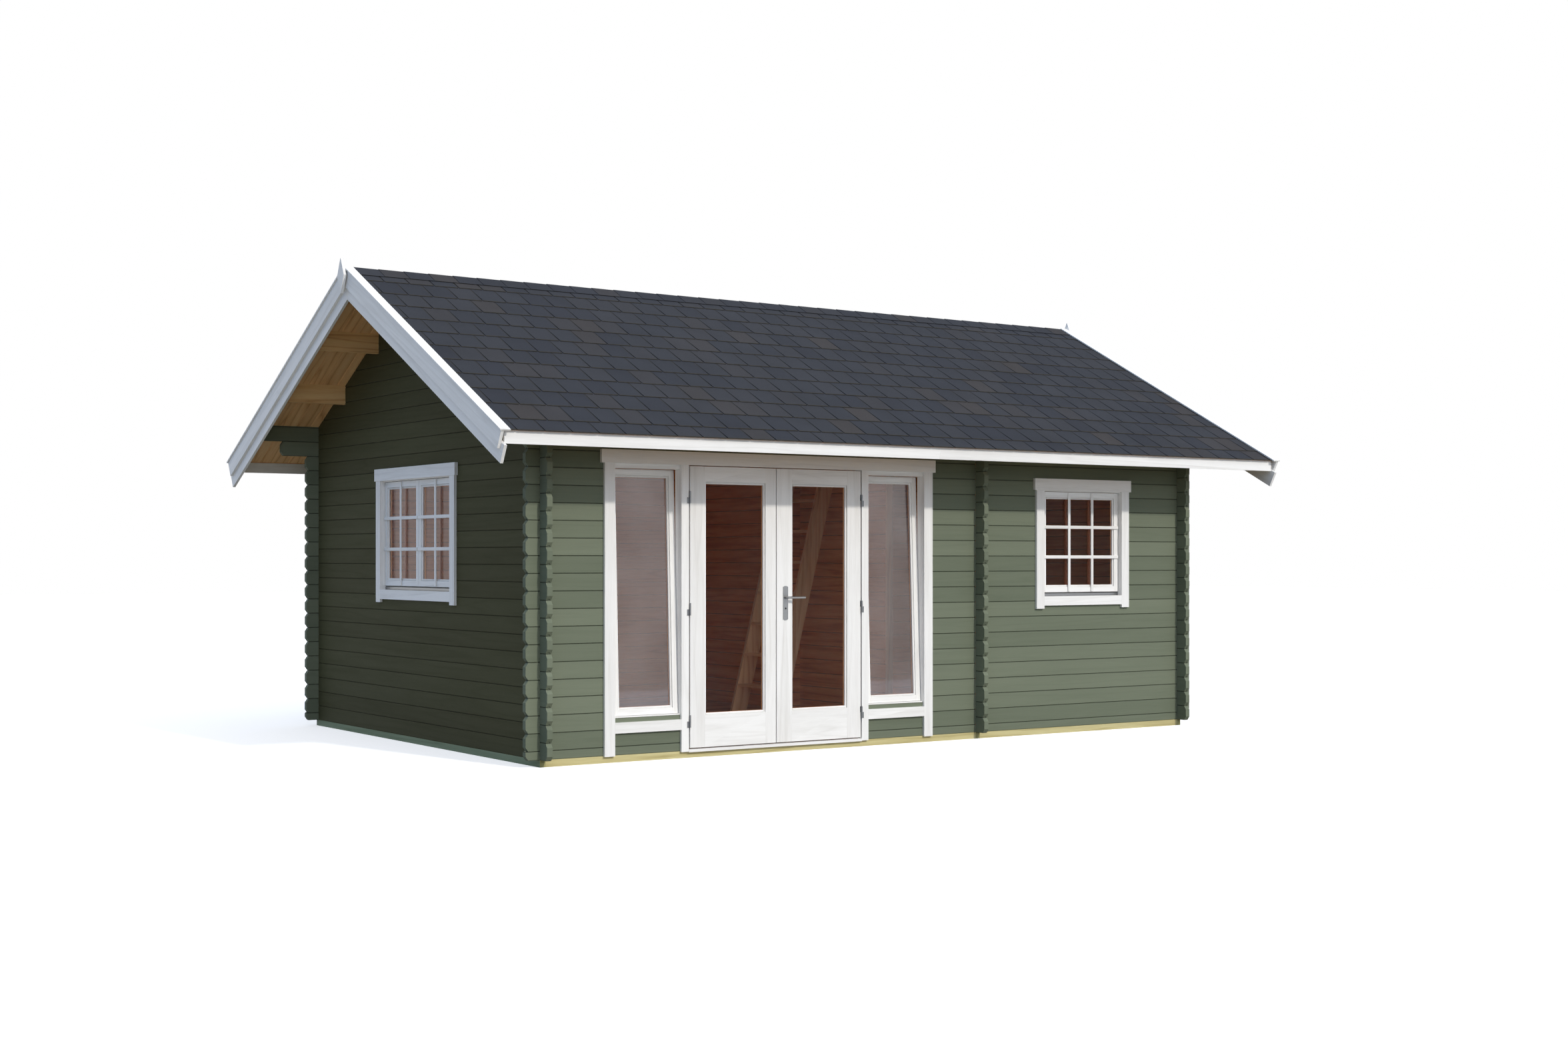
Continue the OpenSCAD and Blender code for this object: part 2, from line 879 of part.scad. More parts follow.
module lower_bargeboards() {
    low = shingle_n - barge_w - barge_drop;
    color(white)
        house()
            verge_boards(verge - barge_t, barge_in, barge_s - barge_long, low, low + barge_w);
}

module cap_strips() {
    outer = verge + cap_over;
    color(white)
        house()
            verge_boards(outer, outer - cap_w, barge_s - cap_past, cap_n, cap_n + cap_t);
}

module finial_outline() {
    top = ridge_z + cap_n / cos(roof_angle) + finial_up;
    low = top - finial_h;
    mid = (top + low) / 2;
    tip = finial_tip / 2;
    y = wall_d / 2;
    polygon([
        [y - tip, low], [y + tip, low], [y + finial_w / 2, mid], [y + tip, top], [y - tip, top],
        [y - finial_w / 2, mid]
    ]);
}

module finials() {
    near = verge + cap_over + fit;
    color(white)
        house() {
            along_x(-near - barge_t, -near)
                finial_outline();
            along_x(wall_l + near, wall_l + near + barge_t)
                finial_outline();
        }
}

fascia_top = roof_z(-eave) + roof_t / cos(roof_angle) - strip_h;
fascia_reach = barge_in - fit;
// The two ends of a fascia board on the left (-1) or the right (1) of the joint between them
function fascia_end(side) = wall_l / 2 + side * (wall_l / 2 + fascia_reach);
function fascia_joint(side, up) = (wall_l + up * scarf_l + side * fit) / 2;

module fascia_boards() {
    color(white)
        house()
            for (y = [-eave, wall_d + eave - fascia_t], side = [-1, 1])
                along_y(y, y + fascia_t)
                    polygon([
                        [fascia_end(side), fascia_top - fascia_h],
                        [fascia_joint(side, -1), fascia_top - fascia_h],
                        [fascia_joint(side, 1), fascia_top],
                        [fascia_end(side), fascia_top]
                    ]);
}

// Strip on the fascia, planed to the slope, which carries the lowest shingles
module eaves_strips() {
    low = fascia_top + fit;
    outer = -eave - shingle_over / 2;
    inner = -eave + fascia_t - fit;
    up = roof_t / cos(roof_angle);
    color(raw_wood)
        house()
            for (back = [0, 1])
                translate([0, back * wall_d, 0])
                    mirror([0, back, 0])
                        along_x(-fascia_reach, wall_l + fascia_reach)
                            polygon([
                                [outer, low], [inner, low],
                                [inner, roof_z(inner) + up], [outer, roof_z(outer) + up]
                            ]);
}

// Windows

// Boards round an opening: two jambs, a sill board between them and a header on top
module window_trim(a, b, z, z2) {
    out = trim_w - trim_lap;
    jamb_low = z - jamb_drop;
    header = z2 - header_drop;
    end = out + win_header_past;
    block(a - out, -trim_t, jamb_low, a + trim_lap, 0, header - fit);
    block(b - trim_lap, -trim_t, jamb_low, b + out, 0, header - fit);
    block(a + trim_lap + fit, -trim_t, z - sill_board_h / 2, b - trim_lap - fit, 0, z + sill_board_h / 2);
    block(a - end, -trim_t - header_proud, header, b + end, 0, header + header_h);
}

// Fixed frame in an opening, under a gap that lets the logs settle
module window_frame(a, b, z, z2) {
    x = a + frame_gap;
    x2 = b - frame_gap;
    low = z + fit;
    top = z2 - settle;
    inner = x + frame_w + fit;
    inner2 = x2 - frame_w - fit;
    block(x, 0, low, x + frame_w, frame_d, top);
    block(x2 - frame_w, 0, low, x2, frame_d, top);
    block(inner, 0, top - frame_head_h, inner2, frame_d, top);
    along_x(inner, inner2)
        polygon([
            [0, low], [frame_d, low],
            [frame_d, low + frame_sill_h], [frame_d - upstand_t, low + frame_sill_h],
            [frame_d - upstand_t, low + sill_step_h + sill_fall], [0, low + sill_step_h]
        ]);
}

sash_in = frame_gap + frame_w + sash_gap;
sash_in_top = settle + frame_head_h + sash_gap;

// Two stiles and two rails round a pane, from a to b across and from z to z2 up
module sash_ring(a, b, z, z2) {
    in = a + sash_w + fit;
    in2 = b - sash_w - fit;
    translate([0, sash_y, 0]) {
        block(a, 0, z, a + sash_w, sash_t, z2);
        block(b - sash_w, 0, z, b, sash_t, z2);
        block(in, 0, z, in2, sash_t, z + sash_w);
        block(in, 0, z2 - sash_w, in2, sash_t, z2);
    }
}

module sash_glass(a, b, z, z2) {
    y = sash_y + (sash_t - glass_t) / 2;
    block(a + sash_w + fit, y, z + sash_w + fit, b - sash_w - fit, y + glass_t, z2 - sash_w - fit);
}

// Turns children built for the front wall onto the left gable wall, with their left end at the back
module on_gable() {
    translate([0, wall_d, 0])
        rotate([0, 0, -90])
            children();
}

gwin_a = wall_d - gwin_y - gwin_w;
gwin_b = wall_d - gwin_y;
gwin_mid = (gwin_a + gwin_b) / 2;

module gable_window_trim() {
    color(white)
        house()
            on_gable()
                window_trim(gwin_a, gwin_b, gwin_z, gwin_z2);
}

module gable_window_frame() {
    color(white)
        house()
            on_gable()
                window_frame(gwin_a, gwin_b, gwin_z, gwin_z2);
}

gable_sashes = [[gwin_a + sash_in, gwin_mid - sash_gap / 2], [gwin_mid + sash_gap / 2, gwin_b - sash_in]];
sash_low = frame_sill_h + 2 * fit;

module gable_window_sashes() {
    color(white)
        house()
            on_gable()
                for (s = gable_sashes)
                    sash_ring(s[0], s[1], gwin_z + sash_low, gwin_z2 - sash_in_top);
}

module gable_window_glass() {
    color(glass_tint)
        house()
            on_gable()
                for (s = gable_sashes)
                    sash_glass(s[0], s[1], gwin_z + sash_low, gwin_z2 - sash_in_top);
}

module front_window_trim() {
    color(white)
        house()
            window_trim(win_x, win_x + win_w, win_z, win_z2);
}

module front_window_frame() {
    color(white)
        house()
            window_frame(win_x, win_x + win_w, win_z, win_z2);
}

module front_window_sash() {
    color(white)
        house()
            sash_ring(win_x + sash_in, win_x + win_w - sash_in, win_z + sash_low, win_z2 - sash_in_top);
}

module front_window_glass() {
    color(glass_tint)
        house()
            sash_glass(win_x + sash_in, win_x + win_w - sash_in, win_z + sash_low, win_z2 - sash_in_top);
}

// Entrance

trim_low = bearer_h - trim_foot;

module entrance_trim() {
    out = trim_w - trim_lap;
    board_z = sill_z - sill_board_drop;
    color(white)
        house() {
            block(entry_x - out, -trim_t, trim_low, entry_x + trim_lap, 0, head_z - fit);
            block(entry_x2 - trim_lap, -trim_t, trim_low, entry_x2 + out, 0, head_z - fit);
            block(post_l_x, -trim_t, trim_low, post_l_x + post_w, 0, head_z - fit);
            block(post_r_x, -trim_t, trim_low, post_r_x + post_w, 0, head_z - fit);
            for (x = [
                [entry_x + trim_lap + fit, post_l_x - fit],
                [post_r_x + post_w + fit, entry_x2 - trim_lap - fit]
            ])
                block(x[0], -trim_t, board_z, x[1], 0, board_z + sill_board_h);
            block(
                entry_x - out - header_past, -trim_t - header_proud, head_z,
                entry_x2 + out + header_past, 0, head_z + header_h
            );
        }
}

module entrance_frame() {
    a = entry_x + frame_gap;
    b = entry_x2 - frame_gap;
    color(white)
        house() {
            block(a, 0, sill_z + fit, a + frame_w, frame_d, head_z - fit);
            block(b - frame_w, 0, sill_z + fit, b, frame_d, head_z - fit);
            block(post_l_x, 0, sill_z + fit, post_l_x + post_w, frame_d, head_z - fit);
            block(post_r_x, 0, sill_z + fit, post_r_x + post_w, frame_d, head_z - fit);
            for (x = [[a + frame_w + fit, post_l_x - fit], [post_r_x + post_w + fit, b - frame_w - fit]]) {
                block(x[0], 0, sill_z + fit, x[1], frame_d, sill_z + light_sill_h);
                block(x[0], 0, head_z - light_head_h, x[1], frame_d, head_z - fit);
            }
            block(a, 0, head_z, b, frame_d, head_z + frame_w);
        }
}

module threshold() {
    nose = trim_t + threshold_nose;
    lip = bearer_h - threshold_lip;
    color(white)
        house()
            along_x(post_l_x + post_w + fit, post_r_x - fit)
                polygon([
                    [-nose, lip], [-fit, lip], [-fit, bearer_h], [log_t, bearer_h],
                    [log_t, bearer_h + threshold_h], [-nose, bearer_h + threshold_h - threshold_fall]
                ]);
}

light_z = sill_z + light_sill_h + 2 * fit;
light_z2 = head_z - light_head_h - sash_gap;
lights = [
    [entry_x + sash_in, post_l_x - sash_gap],
    [post_r_x + post_w + sash_gap, entry_x2 - sash_in]
];

// Tips children in at the top, about the lower inside edge of a side window
module tipped() {
    pivot = sash_y + sash_t;
    translate([0, pivot, light_z])
        rotate([-tilt_angle, 0, 0])
            translate([0, -pivot, -light_z])
                children();
}

module side_light_sashes() {
    color(white)
        house()
            tipped()
                for (s = lights)
                    sash_ring(s[0], s[1], light_z, light_z2);
}

module side_light_glass() {
    color(glass_tint)
        house()
            tipped()
                for (s = lights)
                    sash_glass(s[0], s[1], light_z, light_z2);
}

// A glazed door leaf from x to x2 with its two stiles' widths
module leaf(x, x2, w, w2) {
    translate([0, leaf_y, leaf_z]) {
        block(x, 0, 0, x + w, leaf_t, leaf_h);
        block(x2 - w2, 0, 0, x2, leaf_t, leaf_h);
        block(x + w + fit, 0, 0, x2 - w2 - fit, leaf_t, bottom_rail);
        block(x + w + fit, 0, leaf_h - top_rail, x2 - w2 - fit, leaf_t, leaf_h);
    }
}

module leaf_glass(x, x2, w, w2) {
    y = leaf_y + (leaf_t - glass_t) / 2;
    block(
        x + w + fit, y, leaf_z + bottom_rail + fit,
        x2 - w2 - fit, y + glass_t, leaf_z + leaf_h - top_rail - fit
    );
}

module left_door_leaf() {
    color(white)
        house()
            leaf(leaf_l_x, leaf_l_x2, stile_hinge_w, stile_l_w);
}

module right_door_leaf() {
    color(white)
        house()
            difference() {
                leaf(leaf_r_x, leaf_r_x2, stile_r_w, stile_hinge_w);
                lever_axis(leaf_y - past, leaf_y + leaf_t + past, spindle_r + neck_gap);
            }
}

module left_door_glass() {
    color(glass_tint)
        house()
            leaf_glass(leaf_l_x, leaf_l_x2, stile_hinge_w, stile_l_w);
}

module right_door_glass() {
    color(glass_tint)
        house()
            leaf_glass(leaf_r_x, leaf_r_x2, stile_r_w, stile_hinge_w);
}

// Upper half of a hinge at x: a bored knuckle and a plate that lies on the leaf, on side dir
module leaf_hinge(x, z, dir) {
    half = hinge_h / 2 + fit;
    plate = leaf_y - fit;
    translate([x, 0, z]) {
        difference() {
            union() {
                translate([0, hinge_y, half])
                    cylinder(r = knuckle_r, h = hinge_h / 2 - fit);
                mirror([dir < 0 ? 1 : 0, 0, 0])
                    block(0, plate - hinge_plate_t, half, jamb_gap / 2 + leaf_plate_w, plate, hinge_h);
                mirror([dir < 0 ? 1 : 0, 0, 0])
                    block(0, hinge_y, half, knuckle_r, plate - hinge_plate_t + past, hinge_h);
            }
            translate([0, hinge_y, -past])
                cylinder(r = pin_r + pin_gap, h = hinge_h + 2 * past);
        }
    }
}

// Lower half of a hinge at x: a knuckle with the pin standing out of it and a plate on the post
module frame_hinge(x, z, dir) {
    plate = -trim_t - fit;
    translate([x, 0, z]) {
        translate([0, hinge_y, 0])
            cylinder(r = knuckle_r, h = hinge_h / 2);
        translate([0, hinge_y, hinge_h / 2])
            cylinder(r = pin_r, h = hinge_h / 2);
        mirror([dir > 0 ? 1 : 0, 0, 0])
            block(0, plate - hinge_plate_t, 0, jamb_gap / 2 + hinge_plate_w, plate, hinge_h / 2);
        mirror([dir > 0 ? 1 : 0, 0, 0])
            block(0, hinge_y, 0, knuckle_r, plate - hinge_plate_t + past, hinge_h / 2);
    }
}

module left_door_hinges() {
    color(steel)
        house()
            for (z = hinge_zs)
                leaf_hinge(hinge_l_x, leaf_z + z, 1);
}

module right_door_hinges() {
    color(steel)
        house()
            for (z = hinge_zs)
                leaf_hinge(hinge_r_x, leaf_z + z, -1);
}

module frame_hinges() {
    color(steel)
        house()
            for (z = hinge_zs) {
                frame_hinge(hinge_l_x, leaf_z + z, 1);
                frame_hinge(hinge_r_x, leaf_z + z, -1);
            }
}

// A round bar on the lever's axis from y to y2
module lever_axis(y, y2, r) {
    translate([lever_x, y, leaf_z + lever_z])
        rotate([-90, 0, 0])
            cylinder(r = r, h = y2 - y);
}

module lock_plate(y) {
    x = lever_x - plate_w / 2;
    z = leaf_z + lever_z - plate_low;
    difference() {
        intersection() {
            block(x, y, z, x + plate_w, y + plate_t, z + plate_h);
            union() {
                block(x, y, z + plate_end_r, x + plate_w, y + plate_t, z + plate_h - plate_end_r);
                for (end = [z + plate_end_r, z + plate_h - plate_end_r])
                    translate([lever_x, y, end])
                        rotate([-90, 0, 0])
                            cylinder(r = plate_end_r, h = plate_t);
            }
        }
        lever_axis(y - past, y + plate_t + past, neck_r + neck_gap);
        translate([0, 0, -key_drop])
            lever_axis(y - past, y + plate_t + past, key_r);
    }
}

module lock_plates() {
    color(steel)
        house() {
            lock_plate(leaf_y - plate_t - fit);
            lock_plate(leaf_y + leaf_t + fit);
        }
}

// The lever outside and inside, with the spindle that joins them through the leaf
module lever_handle() {
    front = leaf_y - lever_off;
    back = leaf_y + leaf_t + lever_off;
    color(steel)
        house() {
            lever_axis(front, back, spindle_r);
            lever_axis(front - lever_r, leaf_y - neck_gap, neck_r);
            lever_axis(leaf_y + leaf_t + neck_gap, back + lever_r, neck_r);
            for (y = [front, back])
                translate([lever_x, y, leaf_z + lever_z])
                    rotate([0, 90, 0])
                        cylinder(r = lever_r, h = lever_l);
        }
}

// Ladder

partition_top = gable_z(wall_courses + 1);
ladder_foot = part_left - ladder_x;
ladder_run = ladder_x - stile_w - fit;
ladder_rise = partition_top - floor_z;
ladder_lean = atan(ladder_run / ladder_rise);
tread_count = floor((ladder_rise - tread_first - tread_t) / tread_step);

// Stile outline in x and z: a leaning plank with a level foot and a level top
module stile_outline() {
    polygon([
        [ladder_foot, floor_z], [ladder_foot + stile_w, floor_z],
        [ladder_foot + stile_w + ladder_run, partition_top], [ladder_foot + ladder_run, partition_top]
    ]);
}

module ladder_stiles() {
    color(raw_wood)
        house()
            for (y = [ladder_y, ladder_y + ladder_w - stile_t])
                along_y(y, y + stile_t)
                    stile_outline();
}

module ladder_treads() {
    color(raw_wood)
        house()
            for (i = [0 : tread_count - 1]) {
                z = tread_first + i * tread_step;
                x = ladder_foot + z * tan(ladder_lean);
                block(
                    x + tread_in, ladder_y + stile_t + fit, floor_z + z,
                    x + stile_w - tread_in, ladder_y + ladder_w - stile_t - fit, floor_z + z + tread_t
                );
            }
}

cross_bearers();
long_bearers();
floor_joists();
main_room_floor();
second_room_floor();
front_wall_left();
front_wall_right();
front_wall_sills();
front_wall_top();
back_wall();
left_wall();
left_gable();
right_wall();
right_gable();
partition_wall();
cross_wall();
doorway_lining();
purlins();
front_roof_boards();
back_roof_boards();
front_shingles();
back_shingles();
ridge_shingles();
bargeboards();
lower_bargeboards();
cap_strips();
finials();
fascia_boards();
eaves_strips();
gable_window_trim();
gable_window_frame();
gable_window_sashes();
gable_window_glass();
front_window_trim();
front_window_frame();
front_window_sash();
front_window_glass();
entrance_trim();
entrance_frame();
threshold();
side_light_sashes();
side_light_glass();
left_door_leaf();
left_door_glass();
left_door_hinges();
right_door_leaf();
right_door_glass();
right_door_hinges();
frame_hinges();
lock_plates();
lever_handle();
ladder_stiles();
ladder_treads();
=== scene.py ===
# %% [markdown]
# A log cabin, dressed step by step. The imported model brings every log, board and hinge at its real
# size, in metres. This lesson gives them their finishes and adds what is too fine for the model:
# single roof boards, floor boards, shingle tabs, window bars, beads, rain rails and key cylinders.
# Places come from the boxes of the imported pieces. A size that no box can give is named where it is
# first needed.

# %% Load the fixed frame
import math
import random

import bpy
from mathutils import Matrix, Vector


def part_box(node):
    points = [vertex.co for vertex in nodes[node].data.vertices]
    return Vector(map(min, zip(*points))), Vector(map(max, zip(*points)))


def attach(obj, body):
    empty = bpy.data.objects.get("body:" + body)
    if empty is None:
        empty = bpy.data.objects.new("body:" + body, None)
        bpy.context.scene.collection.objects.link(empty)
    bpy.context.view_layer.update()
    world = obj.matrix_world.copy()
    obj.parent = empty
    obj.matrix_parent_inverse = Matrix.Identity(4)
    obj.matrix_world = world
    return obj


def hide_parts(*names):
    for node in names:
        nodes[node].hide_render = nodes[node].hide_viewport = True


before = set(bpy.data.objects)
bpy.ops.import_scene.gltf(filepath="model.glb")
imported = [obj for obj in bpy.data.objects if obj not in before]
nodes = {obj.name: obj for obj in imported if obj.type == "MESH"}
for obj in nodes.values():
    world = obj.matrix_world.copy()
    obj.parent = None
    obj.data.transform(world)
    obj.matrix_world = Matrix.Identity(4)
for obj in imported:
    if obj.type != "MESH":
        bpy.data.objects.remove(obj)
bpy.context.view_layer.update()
scene = bpy.context.scene
print("pieces in the frame:", len(nodes))

# %% [markdown]
# The picture was taken from eye height, level, in front of the left corner. A level camera keeps
# the corners upright, and a little lens shift puts the house where it stands in the picture. Tilting
# the camera would place it too, but the corners would lean.
# The lens was found by measuring the picture, so it is written as a real focal length.

# %% Camera
EYE = Vector((-8.624, -13.148, 1.330))
AZIMUTH = math.radians(-34.28)
LENS, SENSOR = 45.31, 36.0
LENS_SHIFT = 0.02274
camera = bpy.data.objects.new("camera", bpy.data.cameras.new("camera"))
camera.data.lens = LENS
camera.data.sensor_width = SENSOR
camera.data.shift_y = LENS_SHIFT
camera.location = EYE
camera.rotation_euler = (math.radians(90), 0, AZIMUTH)
scene.collection.objects.link(camera)
scene.camera = camera
print("camera stands", round(EYE.length, 2), "m from the middle of the house")

# %% [markdown]
# Light comes from a soft sun at the front and from the sky. The front is lit, and the left gable
# lies in its own shade, which shows the logs' profile best. A second lamp could fill the shade
# under the eaves, but a sky that is paler towards the sun does it without a second shadow.

# %% Sun
SUN_DIRECTION = Vector((-0.15, 0.82, -0.56)).normalized()
SUN_STRENGTH = 1.7
SUN_ANGLE = math.radians(2.5)
SUN_COLOUR = (1.0, 0.95, 0.88)

scene.view_settings.view_transform = "Standard"
sun = bpy.data.objects.new("sun", bpy.data.lights.new("sun", "SUN"))
sun.data.energy = SUN_STRENGTH
sun.data.angle = SUN_ANGLE
sun.data.color = SUN_COLOUR
sun.rotation_euler = SUN_DIRECTION.to_track_quat("-Z", "Y").to_euler()
scene.collection.objects.link(sun)
print("sun stands", round(math.degrees(math.asin(-SUN_DIRECTION.z))), "degrees high")

# %% [markdown]
# Shader maths reads best as plain expressions. This small class wraps an output socket: `a * 2 + b`
# adds Math nodes, and `1 - mask` works too. Its method `node` makes any other node from its type, its
# settings and the values or links of its inputs. Nodes could be placed by hand in the editor, but a
# line of Python can be read and repeated. Colours go through Mix, because Math would turn them grey.

# %% A socket that can be added and multiplied
class Wire:
    """An output socket in a node tree, with the operators that the finishes use."""

    def __init__(self, tree, socket=None):
        self.tree = tree
        self.socket = socket

    def node(self, kind, settings=None, out=0, **inputs):
        """A new node's output: the node's type, its settings, which output, and its inputs."""
        made = self.tree.nodes.new(kind)
        for name, value in (settings or {}).items():
            if name == "stops":
                set_stops(made.color_ramp, value)
            else:
                setattr(made, name, value)
        feed(made, **inputs)
        return Wire(self.tree, made.outputs[out])

    def out(self, name):
        """Another output of the node that this wire leaves."""
        return Wire(self.tree, self.socket.node.outputs[name])

    def math(self, operation, a, b=0.0):
        return self.node("ShaderNodeMath", {"operation": operation}, i0=a, i1=b)

    def __add__(self, other):
        return self.math("ADD", self, other)

    def __radd__(self, other):
        return self.math("ADD", other, self)

    def __sub__(self, other):
        return self.math("SUBTRACT", self, other)

    def __rsub__(self, other):
        return self.math("SUBTRACT", other, self)

    def __mul__(self, other):
        return self.math("MULTIPLY", self, other)

    def __rmul__(self, other):
        return self.math("MULTIPLY", other, self)

    def __truediv__(self, other):
        return self.math("DIVIDE", self, other)

    def __rtruediv__(self, other):
        return self.math("DIVIDE", other, self)

    def __pow__(self, other):
        return self.math("POWER", self, other)

    def __rpow__(self, other):
        return self.math("POWER", other, self)

    def floor(self):
        return self.math("FLOOR", self)

    def fract(self):
        return self.math("FRACT", self)

    def above(self, edge):
        return self.math("GREATER_THAN", self, edge)

    def size(self):
        return self.math("ABSOLUTE", self)

    def map(self, low, high, to_low=0.0, to_high=1.0):
        """This value, moved from one range to another and held inside it."""
        return self.node("ShaderNodeMapRange", {"clamp": True},
                         i0=self, i1=low, i2=high, i3=to_low, i4=to_high)

    def mix(self, low, high):
        """Colour that goes from low to high as this value goes from 0 to 1."""
        return self.node("ShaderNodeMix", {"data_type": "RGBA"}, 2, i0=self, i6=low, i7=high)

    def ramp(self, *stops):
        """Colour from a ramp, whose stops are a place from 0 to 1 and a colour each."""
        return self.node("ShaderNodeValToRGB", {"stops": stops}, Fac=self)


def set_stops(color_ramp, stops):
    while len(color_ramp.elements) < len(stops):
        color_ramp.elements.new(1.0)
    for element, (place, colour) in zip(color_ramp.elements, stops):
        element.position = place
        element.color = colour


def feed(node, **inputs):
    """Links wires to a node's inputs and sets plain values on them; i0, i1 and so on count inputs."""
    for name, value in inputs.items():
        counted = name[0] == "i" and name[1:].isdigit()
        socket = node.inputs[int(name[1:]) if counted else name.replace("_", " ")]
        if isinstance(value, Wire):
            value.tree.links.new(value.socket, socket)
        else:
            socket.default_value = value


print("wires add, multiply, mix and map")

# %% [markdown]
# Every finish starts alike: a new material, its main shader, and the position of the point that is
# being coloured, in the house's own frame. Noise, bumps and colours are asked for again and again,
# so each has a short helper. Image textures would need a picture for each board; noise needs none.

# %% Helpers for finishes
def finish_of(name):
    """A new material: its main shader, and a first wire that holds positions in the house's frame."""
    material = bpy.data.materials.new(name)
    material.use_nodes = True
    tree = material.node_tree
    return material, tree.nodes["Principled BSDF"], Wire(tree).node("ShaderNodeTexCoord", out="Object")


def srgb(red, green, blue):
    """Turns a colour read off a screen, 0 to 255, into the linear colour that shaders use."""
    def linear(value):
        value /= 255
        return value / 12.92 if value <= 0.04045 else ((value + 0.055) / 1.055) ** 2.4
    return (linear(red), linear(green), linear(blue), 1.0)


def axes(wire):
    """The three coordinates of a position, as wires."""
    split = wire.node("ShaderNodeSeparateXYZ", i0=wire)
    return [split.out(letter) for letter in "XYZ"]


def joined(wire, x, y, z):
    return wire.node("ShaderNodeCombineXYZ", i0=x, i1=y, i2=z)


def noise(vector, scale, detail=3.0, roughness=0.5):
    return vector.node("ShaderNodeTexNoise", Vector=vector, Scale=scale, Detail=detail,
                       Roughness=roughness)


def bumped(wire, height, distance, strength):
    return wire.node("ShaderNodeBump", Height=height, Distance=distance, Strength=strength)


def toned(wire, colour, shade):
    """A colour made darker or lighter by a value."""
    return wire.node("ShaderNodeMix", {"data_type": "RGBA", "blend_type": "MULTIPLY"}, 2,
                     i0=1.0, i6=colour, i7=joined(wire, shade, shade, shade))


print("helpers for finishes are ready")

# %% [markdown]
# The sky lights the house: pale in front, where the sun stands, weaker behind, and blue at the sides.
# A sky picture would do that too, but three colours mixed by direction are enough for a matt house.
# To the camera, in mirrors and through glass the sky is plain white, so that the house stands free.
# Light Path tells those rays apart from light that is on its way.

# %% Sky
SKY_FRONT = (1.28, 1.31, 1.36, 1.0)
SKY_SIDE = (0.22, 0.37, 0.64, 1.0)
SKY_BACK = (0.60, 0.62, 0.64, 1.0)
WHITE, BLACK = (1.0, 1.0, 1.0, 1.0), (0.0, 0.0, 0.0, 1.0)
world = bpy.data.worlds.new("sky")
scene.world = world
world.use_nodes = True
sky_tree = world.node_tree


def looked_at(tree):
    """1 for rays from the camera, from a mirror or through glass, and 0 for light on its way."""
    path = Wire(tree).node("ShaderNodeLightPath")
    seen = path.out("Is Camera Ray") + path.out("Is Glossy Ray") + path.out("Is Transmission Ray")
    return seen.map(0.0, 1.0)


across, backwards, _ = axes(Wire(sky_tree).node("ShaderNodeTexCoord", out="Generated"))
front_to_back = backwards.map(0.7, -0.7).mix(SKY_BACK, SKY_FRONT)
light = across.size().map(0.2, 0.8).mix(front_to_back, SKY_SIDE)
feed(sky_tree.nodes["Background"], Color=looked_at(sky_tree).mix(light, WHITE))
print("sky in front, at the sides and behind:", SKY_FRONT[:3], SKY_SIDE[:3], SKY_BACK[:3])

# %% [markdown]
# The floor is one plain pale plane. Seen by the camera it is nearly white and keeps the house's
# shadow. For the light that it throws back on the walls it is darker, so that the walls keep their
# depth. Two planes could share the work, but the same test of rays as in the sky needs only one.

# %% Floor
FLOOR_HALF = 60.0
FLOOR_SEEN = (0.80, 0.80, 0.80, 1.0)
FLOOR_BOUNCE = (0.21, 0.19, 0.15, 1.0)
FLOOR_GLOW = (0.55, 0.55, 0.55, 1.0)
floor_corners = [(x * FLOOR_HALF, y * FLOOR_HALF, 0) for x, y in ((-1, -1), (1, -1), (1, 1), (-1, 1))]
floor_mesh = bpy.data.meshes.new("studio_floor")
floor_mesh.from_pydata(floor_corners, [], [(0, 1, 2, 3)])
studio_floor = bpy.data.objects.new("studio_floor", floor_mesh)
scene.collection.objects.link(studio_floor)
floor_finish, floor_shader, floor_place = finish_of("studio_floor")
seen_floor = looked_at(floor_place.tree)
feed(floor_shader, Base_Color=seen_floor.mix(FLOOR_BOUNCE, FLOOR_SEEN), Roughness=0.9,
     Specular_IOR_Level=0.0, Emission_Color=seen_floor.mix(BLACK, FLOOR_GLOW), Emission_Strength=1.0)
floor_mesh.materials.append(floor_finish)
print("floor is", 2 * FLOOR_HALF, "m wide")

# %% [markdown]
# Softwood shows growth rings, fine fibres and a few darker streaks, all drawn out along the board.
# UV maps could carry that, but stretched noise in the house's own frame needs no unwrapping.
# A board that lies on the roof runs up the slope, so its frame is turned by the roof's angle first.
# Each separate board gets its own shift, so that no two boards have the same grain.

# %% Grain
ROOF_ANGLE = math.radians(27.3)
STRETCH = 0.05
SHIFT_Y, SHIFT_Z = 1.7, 0.6
BEND_SCALE, FIBRE_SCALE, STREAK_SCALE = 7.0, 150.0, 16.0
RING_COUNT = 7.0
RING_SHARE, FIBRE_SHARE, STREAK_SHARE = 0.28, 0.34, 0.38
cos_a, sin_a, tan_a = math.cos(ROOF_ANGLE), math.sin(ROOF_ANGLE), math.tan(ROOF_ANGLE)


def grain_frame(place, along, shift=0.0):
    """Position with the board's direction shrunk, so that noise in it is drawn out along the board."""
    x, y, z = axes(place)
    if along == "slope":
        up = z * sin_a - y.size() * cos_a
        out = z * cos_a + y.size() * sin_a
        y, z = up * STRETCH, out
    else:
        x, y, z = [w * STRETCH if along == letter else w for w, letter in zip((x, y, z), "xyz")]
    return joined(place, x + shift, y + shift * SHIFT_Y, z + shift * SHIFT_Z)


